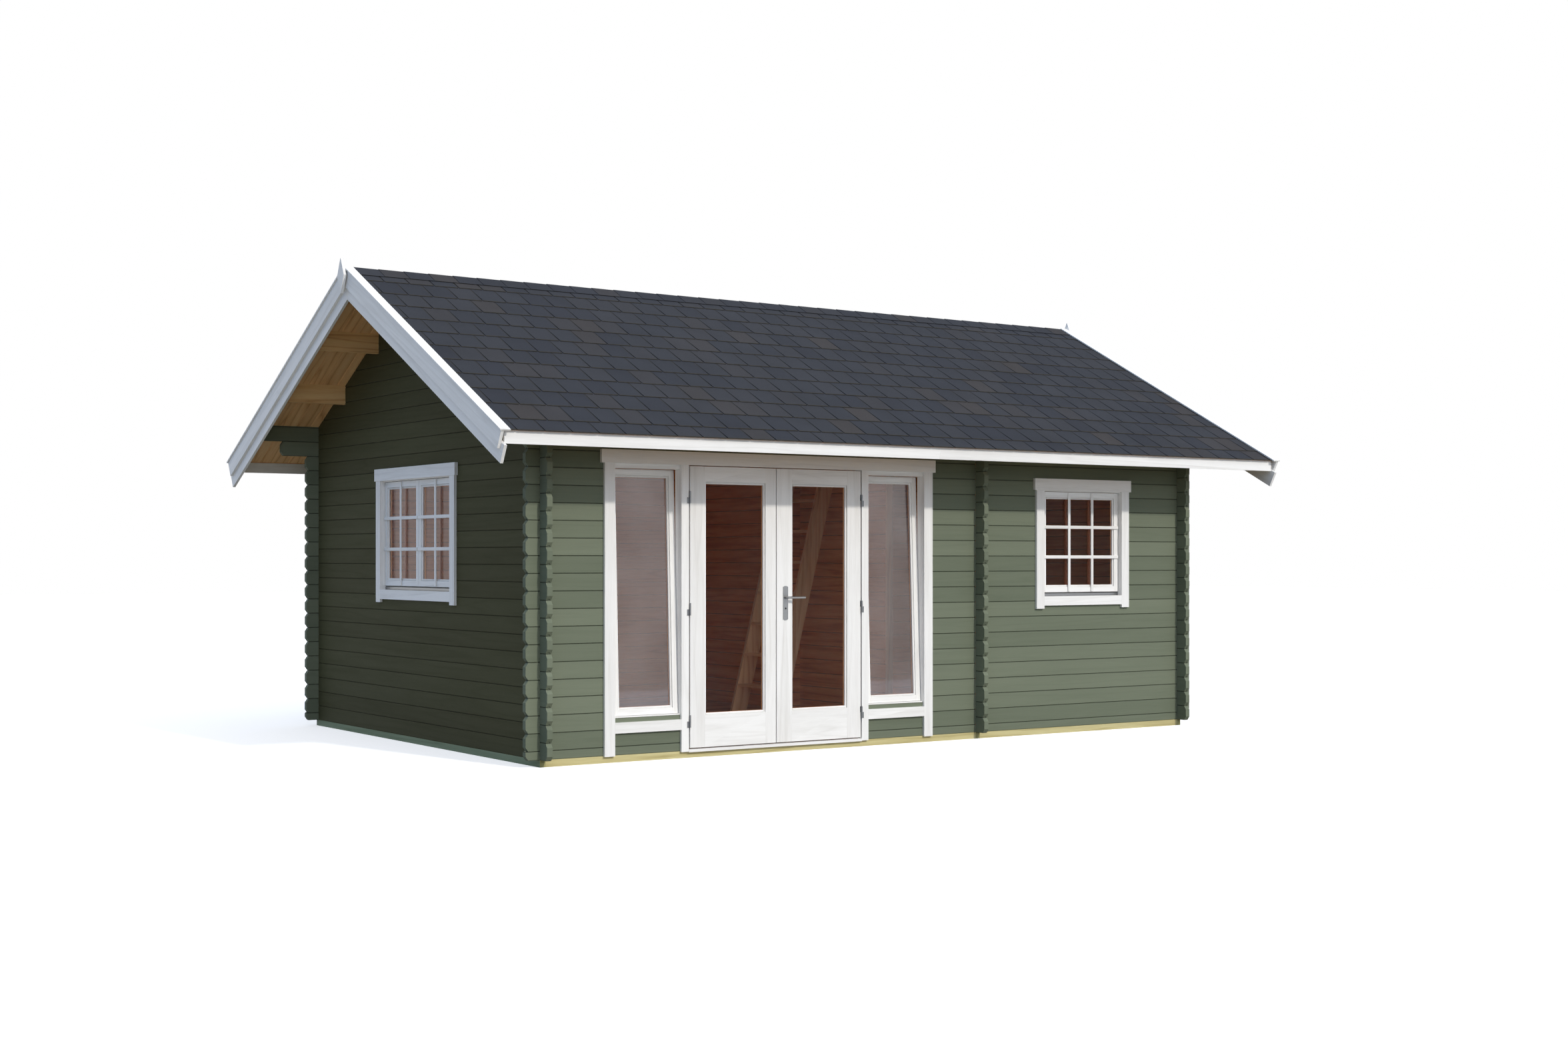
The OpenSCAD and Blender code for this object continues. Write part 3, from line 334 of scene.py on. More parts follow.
def grain(place, along, shift=0.0, rings_seen=1.0):
    """Wood grain from 0, early wood, to 1, late wood: bent rings, fine fibres and broad streaks."""
    stretched = grain_frame(place, along, shift)
    bend = noise(stretched, BEND_SCALE, 2.0, 0.45)
    rings = ((bend * RING_COUNT).fract() * 2.0 - 1.0).size() ** 3.0
    fibre = noise(stretched, FIBRE_SCALE, 3.0, 0.6)
    streak = noise(stretched, STREAK_SCALE, 2.0, 0.5)
    return rings * (RING_SHARE * rings_seen) + fibre * FIBRE_SHARE + streak * STREAK_SHARE


def own_shift(place):
    """A random number for each separate board of a mesh."""
    return place.node("ShaderNodeNewGeometry", out="Random Per Island")


print("grain is stretched", round(1 / STRETCH), "times along a board")

# %% [markdown]
# Purlins, roof boards, ladder, floors and bearers are planed wood without any finish. They differ in
# colour only: fresh, sun-warmed or green from its treatment. One function takes three colours, for
# early wood, the middle and late wood. A photograph of wood would carry its own light and shade
# with it, which a ramp of colours doesn't.

# %% Bare wood
BOARD_SHIFT = 7.0
WOOD_ROUGH = 0.62, 0.76
WOOD = srgb(250, 216, 160), srgb(236, 194, 136), srgb(198, 148, 94)
SOFFIT = srgb(252, 212, 158), srgb(240, 192, 136), srgb(200, 148, 96)
LADDER = srgb(253, 222, 178), srgb(248, 208, 158), srgb(222, 174, 124)
SLEEPER = srgb(222, 212, 160), srgb(208, 196, 142), srgb(178, 164, 110)
INNER = srgb(250, 184, 120), srgb(234, 160, 98), srgb(190, 114, 62)
FLOOR = srgb(232, 190, 142), srgb(212, 166, 118), srgb(172, 124, 82)
EAVES = srgb(246, 184, 118), srgb(232, 160, 94), srgb(196, 124, 68)


def wood_colour(late, pale, mid, dark):
    """Bare wood's colour, from early wood to late wood."""
    return late.ramp((0.22, pale), (0.42, mid), (0.72, dark))


def bare_wood(name, along, *colours):
    """Planed, unfinished wood, with a slightly different depth of colour on each board."""
    material, shader, place = finish_of(name)
    island = own_shift(place)
    late = grain(place, along, island * BOARD_SHIFT)
    shade = island.map(0.0, 1.0, 0.86, 1.06)
    feed(shader, Base_Color=toned(place, wood_colour(late, *colours), shade),
         Roughness=late.map(0.0, 1.0, *WOOD_ROUGH), Specular_IOR_Level=0.3,
         Normal=bumped(place, late, 0.001, 0.4))
    return material


wood_x = bare_wood("bare_wood_along_x", "x", *WOOD)
eaves_wood = bare_wood("eaves_wood_along_x", "x", *EAVES)
ladder_y = bare_wood("ladder_wood_along_y", "y", *LADDER)
ladder_z = bare_wood("ladder_wood_upright", "z", *LADDER)
soffit_wood = bare_wood("roof_wood_up_slope", "slope", *SOFFIT)
floor_wood = bare_wood("floor_wood_along_x", "x", *FLOOR)
treated_x = bare_wood("treated_wood_along_x", "x", *SLEEPER)
print("bare wood finishes:", [m.name for m in bpy.data.materials if "wood" in m.name])

# %% [markdown]
# The logs are planed softwood. Outside they carry a thin matt green stain that lets the grain show
# as a faint streak, inside they are bare and warm. One finish serves both sides: a test of the
# position tells outside from inside, because the walls stand square in the frame.
# Each course gets a slightly different depth of colour, as logs from different trees do, and the
# stain is darkest in the joint between two logs, where it gathered. The joint is darkened further,
# inside as well, as painted shade of the groove.
# The gable logs are a darker green than the front logs: painted shade. Their ends past the front and
# back walls keep the front's lighter green.

# %% Stain on the logs
COURSE = 0.113
LOG_T = 0.040
LOG_BEVEL = 0.004
INNER_FACE = LOG_T - LOG_BEVEL
JOINT_W = 0.009
SKIN = 0.001
LOG_SHIFT = 5.0
COURSE_SEED = 3.7
JOINT_STAIN_AND_SHADE, JOINT_SHADE = srgb(26, 29, 22), srgb(74, 38, 20)
FRONT_DEEP, FRONT_LIGHT = srgb(101, 109, 92), srgb(125, 132, 113)
# The gable greens are the front's stain darkened as painted shade.
SHADED_GABLE_DEEP, SHADED_GABLE_LIGHT = srgb(67, 66, 46), srgb(81, 81, 58)
bearer_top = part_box("long_bearers")[1].z
half_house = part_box("cross_bearers")[1].xy


def chance(wire, value):
    """A steady random number from 0 to 1 for each value, the same at every run."""
    return wire.node("ShaderNodeTexWhiteNoise", {"noise_dimensions": "3D"},
                     Vector=joined(wire, value, COURSE_SEED, 0.0))


def outside(place, depth):
    """1 outside the walls and 0 inside, where depth is how far in the outer finish reaches."""
    x, y, _ = axes(place)
    return (x.size().above(half_house.x - depth) + y.size().above(half_house.y - depth)).map(0.0, 1.0)


def log_finish(name, along, cut_away, deep, light, depth):
    """Stain outside and bare wood inside; cut_away is the share that the lowest log has lost."""
    material, shader, place = finish_of(name)
    _, y, z = axes(place)
    height = (z - bearer_top) / COURSE + cut_away
    joint = ((height.fract() - 0.5).size() * 2.0).map(1.0 - JOINT_W / COURSE, 1.0)
    own = chance(place, height.floor())
    late = grain(place, along, own * LOG_SHIFT, 0.5)
    bare = (joint * 0.7).mix(wood_colour(late, *INNER), JOINT_SHADE)
    # Painted light: log ends past the front and back walls take the front's lighter green.
    unshaded_ends = y.size().above(half_house.y + SKIN)
    tone = (own * 0.35 + late * 0.5 + noise(place, 0.8, 2.0) * 0.3).map(0.25, 0.85)
    green = tone.mix(unshaded_ends.mix(light, FRONT_LIGHT), unshaded_ends.mix(deep, FRONT_DEEP))
    # Darker in the joint: partly stain that gathered there, partly painted shade of the groove.
    stain_and_shade = (joint * 0.8).mix(green, JOINT_STAIN_AND_SHADE)
    feed(shader, Base_Color=outside(place, depth).mix(bare, stain_and_shade), Specular_IOR_Level=0.06,
         Roughness=late.map(0.2, 0.8, 0.60, 0.76), Normal=bumped(place, late, 0.0014, 0.4))
    return material


long_logs = log_finish("logs_long_walls", "x", 0.5, FRONT_DEEP, FRONT_LIGHT, INNER_FACE)
gable_logs = log_finish("logs_gables", "y", 0.0, SHADED_GABLE_DEEP, SHADED_GABLE_LIGHT, INNER_FACE)
partition_logs = log_finish("logs_partition", "y", 0.0, FRONT_DEEP, FRONT_LIGHT, 0.0)
cross_logs = log_finish("logs_cross_wall", "x", 0.5, FRONT_DEEP, FRONT_LIGHT, 0.0)
print("log courses are", COURSE, "m high")

# %% [markdown]
# The bearers are treated timber. The ones under the gables were stained with the logs above them,
# so their outer face is green, while their cut ends stay yellow. The faces could be picked one by
# one and given two finishes, but a test of the position finds the outer face by itself.

# %% Bearers
END_WOOD = srgb(172, 166, 112), srgb(152, 146, 92), srgb(122, 116, 70)
STAINED_WOOD = srgb(128, 144, 116), srgb(114, 130, 102), srgb(96, 112, 86)


def gable_bearer():
    material, shader, place = finish_of("treated_wood_gable_bearer")
    late = grain(place, "y")
    end, green = [late.ramp((0.22, pale), (0.5, mid), (0.8, dark))
                  for pale, mid, dark in (END_WOOD, STAINED_WOOD)]
    outer_face = axes(place)[0].size().above(half_house.x - SKIN)
    feed(shader, Base_Color=outer_face.mix(end, green), Roughness=late.map(0.2, 0.8, 0.66, 0.8),
         Normal=bumped(place, late, 0.0014, 0.5))
    return material


treated_gable = gable_bearer()
print("house is", round(2 * half_house.x, 2), "by", round(2 * half_house.y, 2), "m outside the walls")

# %% [markdown]
# Trim, doors and windows carry satin white paint outside; their inner half is bare, like the room.
# Brush marks and raised grain show as faint lines along each board. A board's own direction is its
# longest side, so three finishes, one for each direction, serve all of them.
# The tipped side windows lean, so their inner half starts at a plane that leans with them.

# %% White paint
PAINT_CLEAN, PAINT_GREY = srgb(251, 250, 247), srgb(216, 213, 207)
FRAME_BACK = 0.003
PANE_BACK = 0.004
TIPPED_BACK = 0.008
light_low, light_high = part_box("side_light_glass")
GLASS_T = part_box("front_window_glass")[1].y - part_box("front_window_glass")[0].y
LEAN = (light_high.y - light_low.y - GLASS_T) / (light_high.z - light_low.z)


def white_paint(name, along, bare_from=None, thin=1, lean_foot=None):
    """Satin paint; past bare_from, on the axis thin that goes through the wall, the wood is bare."""
    material, shader, place = finish_of(name)
    island = own_shift(place)
    late = grain(place, along, island * BOARD_SHIFT, 0.6)
    worn = (late * 0.75 + island * 0.18 + noise(place, 3.0) * 0.15).map(0.36, 0.86)
    colour = worn.mix(PAINT_CLEAN, PAINT_GREY)
    if bare_from is not None:
        position = axes(place)
        through = position[thin]
        if lean_foot is not None:
            through = through - (position[2] - lean_foot) * LEAN
        colour = through.above(bare_from).mix(colour, wood_colour(late, *INNER))
    feed(shader, Base_Color=colour, Roughness=late.map(0.2, 0.8, 0.34, 0.52),
         Normal=bumped(place, late, 0.001, 0.4))
    return material


def paint_set(name, **inner):
    """The three finishes of one kind of painted piece, for boards along x, along y and upright."""
    return [white_paint(f"white_paint_{name}_{along}", along, **inner) for along in "xyz"]


def behind_middle(node, thin):
    """The place where bare wood starts in a door or sash, just behind the middle of its glass."""
    low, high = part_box(node)
    return (low[thin] + high[thin]) / 2 + PANE_BACK


outer_paint = paint_set("boards")
slope_paint = white_paint("white_paint_up_slope", "slope")
frame_paint = paint_set("front_frames", bare_from=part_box("front_window_frame")[1].y - FRAME_BACK)
gable_frame_paint = paint_set("gable_frame", thin=0,
                              bare_from=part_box("gable_window_frame")[1].x - FRAME_BACK)
door_paint = paint_set("doors", bare_from=behind_middle("left_door_glass", 1))
window_paint = paint_set("front_window", bare_from=behind_middle("front_window_glass", 1))
gable_paint = paint_set("gable_window", bare_from=behind_middle("gable_window_glass", 0), thin=0)
light_paint = paint_set("side_lights", bare_from=light_low.y + TIPPED_BACK, lean_foot=light_low.z)
print("paint finishes:", len([m for m in bpy.data.materials if "paint" in m.name]))

# %% [markdown]
# Metal is of two kinds: grey zinc on the hinges, with its cloudy patches, and satin steel on the
# lever, its plates and the rain rails, with fine brushing. Grey paint would do from far away, but
# metal takes its brightness from what it mirrors, so it stays right in any light.

# %% Metal
def zinc_finish():
    material, shader, place = finish_of("zinc_plated")
    cloud = noise(place, 240.0, 3.0)
    feed(shader, Base_Color=cloud.mix(srgb(92, 94, 97), srgb(132, 134, 137)), Metallic=0.85,
         Roughness=cloud.map(0.3, 0.7, 0.34, 0.52))
    return material


def steel_finish():
    material, shader, place = finish_of("satin_steel")
    fine = noise(grain_frame(place, "z"), 900.0, 3.0)
    feed(shader, Base_Color=fine.mix(srgb(122, 123, 124), srgb(154, 155, 156)), Metallic=0.95,
         Roughness=fine.map(0.2, 0.8, 0.26, 0.42), Normal=bumped(place, fine, 0.0002, 0.3))
    return material


zinc = zinc_finish()
steel = steel_finish()
print("metal finishes:", zinc.name, "and", steel.name)

# %% [markdown]
# Glass is thin and clear: most light goes through, and the part that is thrown back, more at flat
# angles, mirrors the sky. A glass shader bends light at both faces, which a thin pane hardly does.
# Mixing a see-through shader with a mirror treats both faces of a pane alike. The tipped windows
# face upwards a little and throw back more.

# %% Glass
MIRRORED, TIPPED_MIRRORED = 0.004, 0.085
GLASS_TINT = (0.05, 0.05, 0.05, 1.0)
MIRROR_TINT = (0.95, 0.89, 0.89, 1.0)


def glass_finish(name, mirrored):
    """Clear glass, mixed with a mirror for the share of light that it throws back."""
    material, shader, place = finish_of(name)
    film = noise(place, 2.2, 2.0)
    feed(shader, Base_Color=GLASS_TINT, Roughness=0.05, Alpha=film.map(0.3, 0.7, 0.02, 0.05))
    mirror = place.node("ShaderNodeBsdfPrincipled", Base_Color=MIRROR_TINT, Metallic=1.0, Roughness=0.02)
    flat = place.node("ShaderNodeLayerWeight", out="Facing", Blend=0.5)
    thrown_back = flat ** 5.0 * 0.9 + film.map(0.3, 0.7, mirrored * 0.8, mirrored * 1.2)
    clear = Wire(place.tree, shader.outputs[0])
    both = place.node("ShaderNodeMixShader", i0=thrown_back, i1=clear, i2=mirror)
    feed(place.tree.nodes["Material Output"], Surface=both)
    return material


glass = glass_finish("window_glass", MIRRORED)
tipped_glass = glass_finish("tipped_window_glass", TIPPED_MIRRORED)
print("glass finishes:", glass.name, "and", tipped_glass.name)

# %% [markdown]
# Shingles are bitumen with mineral granules: slate grey, each tab a little bluer or browner than
# the next. Their lower edge is the cut side of the sheet, brown and speckled, and darker still as
# painted shade, so that each row ends in a dark line. Under them lies dark felt, darkened further
# as painted shade where it shows in the slots.
# Each tab could have a material of its own; but the tabs are separate islands of one mesh, so a
# random value per island colours each of them in a single finish.

# %% Shingle granules
TAB_TONES = ((0.0, srgb(50, 53, 61)), (0.4, srgb(54, 57, 64)),
             (0.85, srgb(57, 59, 65)), (1.0, srgb(64, 62, 63)))
# The cut edge's own brown, darkened further as painted shade along each row's lower edge.
CUT_EDGE_AND_SHADE_TONES = (0.34, srgb(16, 16, 15)), (0.55, srgb(32, 30, 26)), (0.78, srgb(74, 70, 60))
# Dark felt, darkened further as painted shade where it shows in the slots and in the key slit.
FELT_AND_SLOT_SHADE_TONES = srgb(20, 21, 24), srgb(34, 35, 38)


def shingle_finish():
    material, shader, place = finish_of("shingle_granules")
    grains = noise(place, 600.0, 2.0, 0.7)
    clouds = noise(place, 2.5, 3.0)
    shade = (grains * 0.6 + clouds * 0.4).map(0.3, 0.7, 0.72, 1.14)
    feed(shader, Base_Color=toned(place, own_shift(place).ramp(*TAB_TONES), shade),
         Roughness=grains.map(0.3, 0.7, 0.82, 0.96), Specular_IOR_Level=0.15,
         Normal=bumped(place, grains, 0.002, 0.5))
    return material


def cut_edge_finish():
    material, shader, place = finish_of("shingle_cut_edge")
    specks = noise(place, 150.0, 3.0, 0.7)
    feed(shader, Base_Color=specks.ramp(*CUT_EDGE_AND_SHADE_TONES), Roughness=specks.map(0.3, 0.7, 0.86, 0.98),
         Normal=bumped(place, specks, 0.003, 0.7))
    return material


def felt_finish():
    material, shader, place = finish_of("felt_and_slot_shade")
    grains = noise(place, 500.0, 2.0, 0.7)
    feed(shader, Base_Color=grains.mix(*FELT_AND_SLOT_SHADE_TONES), Roughness=grains.map(0.3, 0.7, 0.85, 0.95))
    return material


shingle_top = shingle_finish()
shingle_edge = cut_edge_finish()
felt_and_slot_shade = felt_finish()
print("shingle tones from dark to light:", len(TAB_TONES))

# %% [markdown]
# A frame or a door is put together from boards that run in different directions, and each board
# shows its grain along its own length. The boards could be told apart by hand, in edit mode. Here
# the script finds them: corners at the same place, or with an edge between them, belong together.

# %% The boards in a piece
WELD_DIGITS = 5


def solids_of(mesh):
    """The corner numbers of each separate solid in a mesh, in the mesh's own order."""
    parent = list(range(len(mesh.vertices)))

    def root(corner):
        while parent[corner] != corner:
            parent[corner] = parent[parent[corner]]
            corner = parent[corner]
        return corner

    first_at = {}
    for vertex in mesh.vertices:
        place = tuple(round(c, WELD_DIGITS) for c in vertex.co)
        parent[root(vertex.index)] = root(first_at.setdefault(place, vertex.index))
    for edge in mesh.edges:
        parent[root(edge.vertices[0])] = root(edge.vertices[1])
    solids = {}
    for vertex in mesh.vertices:
        solids.setdefault(root(vertex.index), []).append(vertex.index)
    return list(solids.values())


def box_of(mesh, solid):
    """The lowest and the highest corner of a solid's box."""
    columns = list(zip(*(mesh.vertices[corner].co for corner in solid)))
    return Vector([min(column) for column in columns]), Vector([max(column) for column in columns])


def grain_along_boards(name):
    """Gives each board of a piece the finish of its longest side, and counts the boards."""
    mesh = nodes[name].data
    solids = solids_of(mesh)
    slot_of = {}
    for solid in solids:
        low, high = box_of(mesh, solid)
        sides = list(high - low)
        slot_of |= dict.fromkeys(solid, sides.index(max(sides)))
    for face in mesh.polygons:
        face.material_index = slot_of[face.vertices[0]]
    return len(solids)


print("boards in the front window's frame:", len(solids_of(nodes["front_window_frame"].data)))

# %% [markdown]
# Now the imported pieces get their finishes, first the painted ones. A small bevel on each board
# catches light along the edges as real sanded wood does. The edges could be cut into the mesh, but
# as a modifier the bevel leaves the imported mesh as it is.

# %% Dress the painted pieces
EDGE = 0.0018
BEVEL_STEPS = 2
SHARP = math.radians(40)


def soften(piece, width=EDGE):
    bevel = piece.modifiers.new("sanded_edges", "BEVEL")
    bevel.width = width
    bevel.segments = BEVEL_STEPS
    bevel.limit_method = "ANGLE"
    bevel.angle_limit = SHARP
    bevel.harden_normals = True


def dress(names, *finishes):
    """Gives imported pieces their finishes."""
    for name in names:
        mesh = nodes[name].data
        mesh.materials.clear()
        for finish in finishes:
            mesh.materials.append(finish)


OUTER = ["finials", "fascia_boards", "gable_window_trim", "front_window_trim", "entrance_trim",
         "threshold"]
SLOPING = ["bargeboards", "lower_bargeboards", "cap_strips"]
PAINTED = {name: outer_paint for name in OUTER}
PAINTED |= {name: door_paint for name in ["left_door_leaf", "right_door_leaf"]}
PAINTED |= {name: frame_paint for name in ["front_window_frame", "entrance_frame"]}
PAINTED |= {"front_window_sash": window_paint, "side_light_sashes": light_paint}
PAINTED |= {"gable_window_frame": gable_frame_paint, "gable_window_sashes": gable_paint}
for name, finishes in PAINTED.items():
    dress([name], *finishes)
dress(SLOPING, slope_paint)
for name in [*PAINTED, *SLOPING]:
    soften(nodes[name])
print("painted boards:", sum(grain_along_boards(name) for name in PAINTED))

# %% [markdown]
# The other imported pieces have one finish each: logs, bare wood, metal and glass. A list that says
# who gets what reads like a maker's finishing plan, and a piece that was forgotten is easy to spot.

# %% Dress logs, wood, metal and glass
METAL_EDGE = 0.0012
dress(["front_wall_left", "front_wall_right", "front_wall_sills", "front_wall_top"], long_logs)
dress(["back_wall"], long_logs)
dress(["left_wall", "right_wall", "left_gable", "right_gable"], gable_logs)
dress(["partition_wall"], partition_logs)
dress(["cross_wall"], cross_logs)
dress(["doorway_lining", "ladder_stiles"], ladder_z)
dress(["ladder_treads"], ladder_y)
dress(["purlins"], wood_x)
dress(["eaves_strips"], eaves_wood)
dress(["long_bearers", "floor_joists"], treated_x)
dress(["cross_bearers"], treated_gable)
dress(["left_door_hinges", "right_door_hinges", "frame_hinges"], zinc)
dress(["lock_plates", "lever_handle"], steel)
dress([name for name in nodes if name.endswith("_glass")], glass)
dress(["side_light_glass"], tipped_glass)
for name in ["purlins", "ladder_stiles", "ladder_treads", "doorway_lining"]:
    soften(nodes[name])
for name in ["lock_plates", "lever_handle"]:
    soften(nodes[name], METAL_EDGE)
print("packed pieces with a finish:", sum(len(node.data.materials) > 0 for node in nodes.values()))

# %% [markdown]
# From here on pieces are made. A builder collects many small boards in one mesh, so that hundreds of
# them stay one object. Each is a closed solid through rings of points; a bevelled bar, given by two
# corners, is the most common one. Cubes with modifiers would do for a few boards, but not for all.

# %% A builder of boards
class Boards:
    """Collects closed solids in one mesh."""

    def __init__(self):
        self.points = []
        self.faces = []
        self.slots = []

    def solid(self, rings, bands=(0,), ends=(0, 0)):
        """A solid through rings of points; each band between two has a slot, or one for each side."""
        start, count = len(self.points), len(rings[0])
        last = start + count * (len(rings) - 1)
        self.points += [tuple(point) for ring in rings for point in ring]
        self.faces += [tuple(reversed(range(start, start + count))), tuple(range(last, last + count))]
        self.slots += ends
        for band, slots in enumerate(bands):
            low, high = start + band * count, start + (band + 1) * count
            for side in range(count):
                after = (side + 1) % count
                self.faces.append((low + side, low + after, high + after, high + side))
            self.slots += slots if isinstance(slots, list) else [slots] * count

    def bar(self, low, high, bevel=0.0, along=0, place=tuple, slot=0):
        """A bar between two corners, with bevelled long edges, that runs along axis 0, 1 or 2."""
        first, second = [(1, 2), (2, 0), (0, 1)][along]
        a, b, c, d = low[first], high[first], low[second], high[second]
        outline = [(a, c), (b, c), (b, d), (a, d)]
        if bevel:
            outline = [(a + bevel, c), (b - bevel, c), (b, c + bevel), (b, d - bevel),
                       (b - bevel, d), (a + bevel, d), (a, d - bevel), (a, c + bevel)]
        rings = []
        for end in (low[along], high[along]):
            ring = []
            for u, v in outline:
                point = [0.0, 0.0, 0.0]
                point[along], point[first], point[second] = end, u, v
                ring.append(place(point))
            rings.append(ring)
        self.solid(rings, [slot], (slot, slot))

    def piece(self, name, finishes, body="house"):
        """The finished object, which rides on one of the house's bodies."""
        mesh = bpy.data.meshes.new(name)
        mesh.from_pydata(self.points, [], self.faces)
        for finish in finishes:
            mesh.materials.append(finish)
        mesh.polygons.foreach_set("material_index", self.slots)
        mesh.update()
        made = bpy.data.objects.new(name, mesh)
        scene.collection.objects.link(made)
        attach(made, body)
        print(name, "has", len(self.faces), "faces")
        return made


print("builder of boards is ready")

# %% [markdown]
# The roof is closed with narrow tongued boards that run from the eaves to the ridge. Under the
# overhangs their joints show as fine dark lines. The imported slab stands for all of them; here it
# is split into single boards of a usual width, each with small chamfers along its lower edges.
# Lines drawn in the finish would be quicker, but only a real chamfer holds a shadow.

# %% Roof boards
BOARD_W = 0.112
BOARD_JOINT = 0.0008
BOARD_BEVEL = 0.004
ROOF_T = 0.016
RIDGE_GAP = 0.0004
slab_low, slab_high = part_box("front_roof_boards")
eave_y = slab_low.y + ROOF_T * sin_a
eave_z = slab_low.z
slope_len = -eave_y / cos_a


def on_slope(side):
    """Turns x, a distance up the slope and a height over it into a point on one slope of the roof."""
    def place(point):
        x, s, n = point
        return (x, side * (eave_y + s * cos_a - n * sin_a), eave_z + s * sin_a + n * cos_a)
    return place


def roof_boards(side, node):
    made = Boards()
    count = round((slab_high.x - slab_low.x) / BOARD_W)
    width = (slab_high.x - slab_low.x) / count
    place = on_slope(side)
    for i in range(count):
        low = slab_low.x + i * width + BOARD_JOINT / 2
        high = slab_low.x + (i + 1) * width - BOARD_JOINT / 2
        outline = [(low + BOARD_BEVEL, 0), (high - BOARD_BEVEL, 0), (high, BOARD_BEVEL), (high, ROOF_T),
                   (low, ROOF_T), (low, BOARD_BEVEL)][::side]
        at_ridge = [place((u, slope_len + n * tan_a - RIDGE_GAP, n)) for u, n in outline]
        at_eaves = [place((u, 0.0, n)) for u, n in outline]
        made.solid([at_ridge, at_eaves])
    piece = made.piece(node + "_single", [soffit_wood])
    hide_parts(node)


roof_boards(1, "front_roof_boards")
roof_boards(-1, "back_roof_boards")

# %% [markdown]
# Floors are narrow boards too, laid along the length of the house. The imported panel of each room
# is replaced by boards with small chamfers, cut round the log ends as the panel is. An array of one
# board would run through the log ends; a loop can end each board where it meets them.

# %% Floor boards
FLOOR_W = 0.096
FLOOR_JOINT = 0.0008
FLOOR_BEVEL = 0.0015
FLOOR_GAP = 0.004
main_low, main_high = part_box("main_room_floor")
second_low, second_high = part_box("second_room_floor")
cross_low, cross_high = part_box("cross_wall")
gap_front, gap_back = cross_high.y - LOG_T - FLOOR_GAP, cross_high.y + FLOOR_GAP


def floor_boards(node, rooms, notch=None):
    """Boards for rooms given by two corners; notch is where the cross wall's logs cut into them."""
    made = Boards()
    low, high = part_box(node)
    for x, y, x2, y2 in rooms:
        count = round((y2 - y) / FLOOR_W)
        width = (y2 - y) / count
        for i in range(count):
            a, b = y + i * width, y + (i + 1) * width
            end = notch[0] if notch and b > notch[1] and a < notch[2] else x2
            made.bar((x, a + FLOOR_JOINT / 2, low.z), (end, b - FLOOR_JOINT / 2, high.z), FLOOR_BEVEL)
    piece = made.piece(node + "_single", [floor_wood])
    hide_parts(node)


floor_boards("main_room_floor", [(main_low.x, main_low.y, main_high.x, main_high.y)],
             (cross_low.x - FLOOR_GAP, gap_front, gap_back))
floor_boards("second_room_floor", [(second_low.x, second_low.y, second_high.x, gap_front),
                                   (second_low.x, gap_back, second_high.x, second_high.y)])

# %% [markdown]
# The shingles come in strips with five tabs. Each row covers the top of the row below, and the slots
# of one row fall on the middle of the tabs beneath. An array modifier would make all tabs alike; a
# loop with seeded chance makes each a little uneven, the same way at every run.
# A tab is a thin wedge, thick at its lower edge. One mesh holds all tabs of a slope and the felt.

# %% Shingle tabs
TAB_W = 0.188
TAB_SLOT = 0.012
TAB_LEAST = 0.01
TAB_T = 0.0056
TAB_EDGE, EDGE_FALL = 0.012, 0.0003
HEAD_T, HEAD_LAP = 0.0006, 0.020
ROW_STEP = 0.235
ROW_SHIFT = 0.012
UNEVEN_EDGE, UNEVEN_T = 0.0015, 0.0009
FELT_LOW, FELT_HIGH, TAB_LOW = 0.0001, 0.0003, 0.0004
FELT_BACK = 0.004
TOP, CUT, FELT = 0, 1, 2
rng = random.Random(11)
tabs_low, tabs_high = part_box("front_shingles")
tab_start = (tabs_low.y - eave_y + (ROOF_T + TAB_T) * sin_a) / cos_a
tab_end = slope_len + ROOF_T * tan_a


def add_tab(made, side, a, b, low, head):
    """One tab from a to b: a wedge from its lower edge up to its head under the row above."""
    place = on_slope(side)
    at = low + (rng.uniform(-UNEVEN_EDGE, UNEVEN_EDGE) if low > tab_start else 0.0)
    face = ROOF_T + TAB_T - rng.uniform(0.0, UNEVEN_T)
    under = ROOF_T + TAB_LOW
    steps = [(at, face), (at + TAB_EDGE, face - EDGE_FALL), (head, under + HEAD_T)]
    rings = [[(a, s, under), (b, s, under), (b, s, n), (a, s, n)] for s, n in steps]
    made.solid([[place(point) for point in ring[::side]] for ring in rings], [CUT, TOP], (CUT, TOP))


def add_felt(made, side):
    """The sheet of felt under the tabs, which closes their slots."""
    place = on_slope(side)
    sheet = [(tabs_low.x, tab_start + FELT_BACK), (tabs_high.x, tab_start + FELT_BACK),
             (tabs_high.x, tab_end), (tabs_low.x, tab_end)][::side]
    faces = [[place((x, s, ROOF_T + n)) for x, s in sheet] for n in (FELT_LOW, FELT_HIGH)]
    made.solid(faces, [FELT], (FELT, FELT))


def shingle_tabs(side, node):
    made = Boards()
    rows = math.ceil((tab_end - tab_start) / ROW_STEP)
    for row in range(rows):
        top = tab_end - row * ROW_STEP
        low = max(top - ROW_STEP, tab_start)
        x = tabs_low.x - (row % 2) * TAB_W / 2 - rng.uniform(-ROW_SHIFT, ROW_SHIFT)
        while x < tabs_high.x:
            a = max(x + TAB_SLOT / 2, tabs_low.x)
            b = min(x + TAB_W - TAB_SLOT / 2, tabs_high.x)
            if b - a >= TAB_LEAST:
                add_tab(made, side, a, b, low, top + (HEAD_LAP if row else 0.0))
            x += TAB_W
    add_felt(made, side)
    piece = made.piece(node + "_tabs", [shingle_top, shingle_edge, felt_and_slot_shade])
    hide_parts(node)
    return rows


front_rows = shingle_tabs(1, "front_shingles")
back_rows = shingle_tabs(-1, "back_shingles")
print("shingle rows in front and at the back:", front_rows, back_rows)

# %% [markdown]
# Along the ridge the same tabs are folded over, each covering part of the next. They lie on the top
# row and end at the cap strips. A sheet bent with a modifier would be round at the ridge; two thin
# wedges that meet there keep the sharp fold.

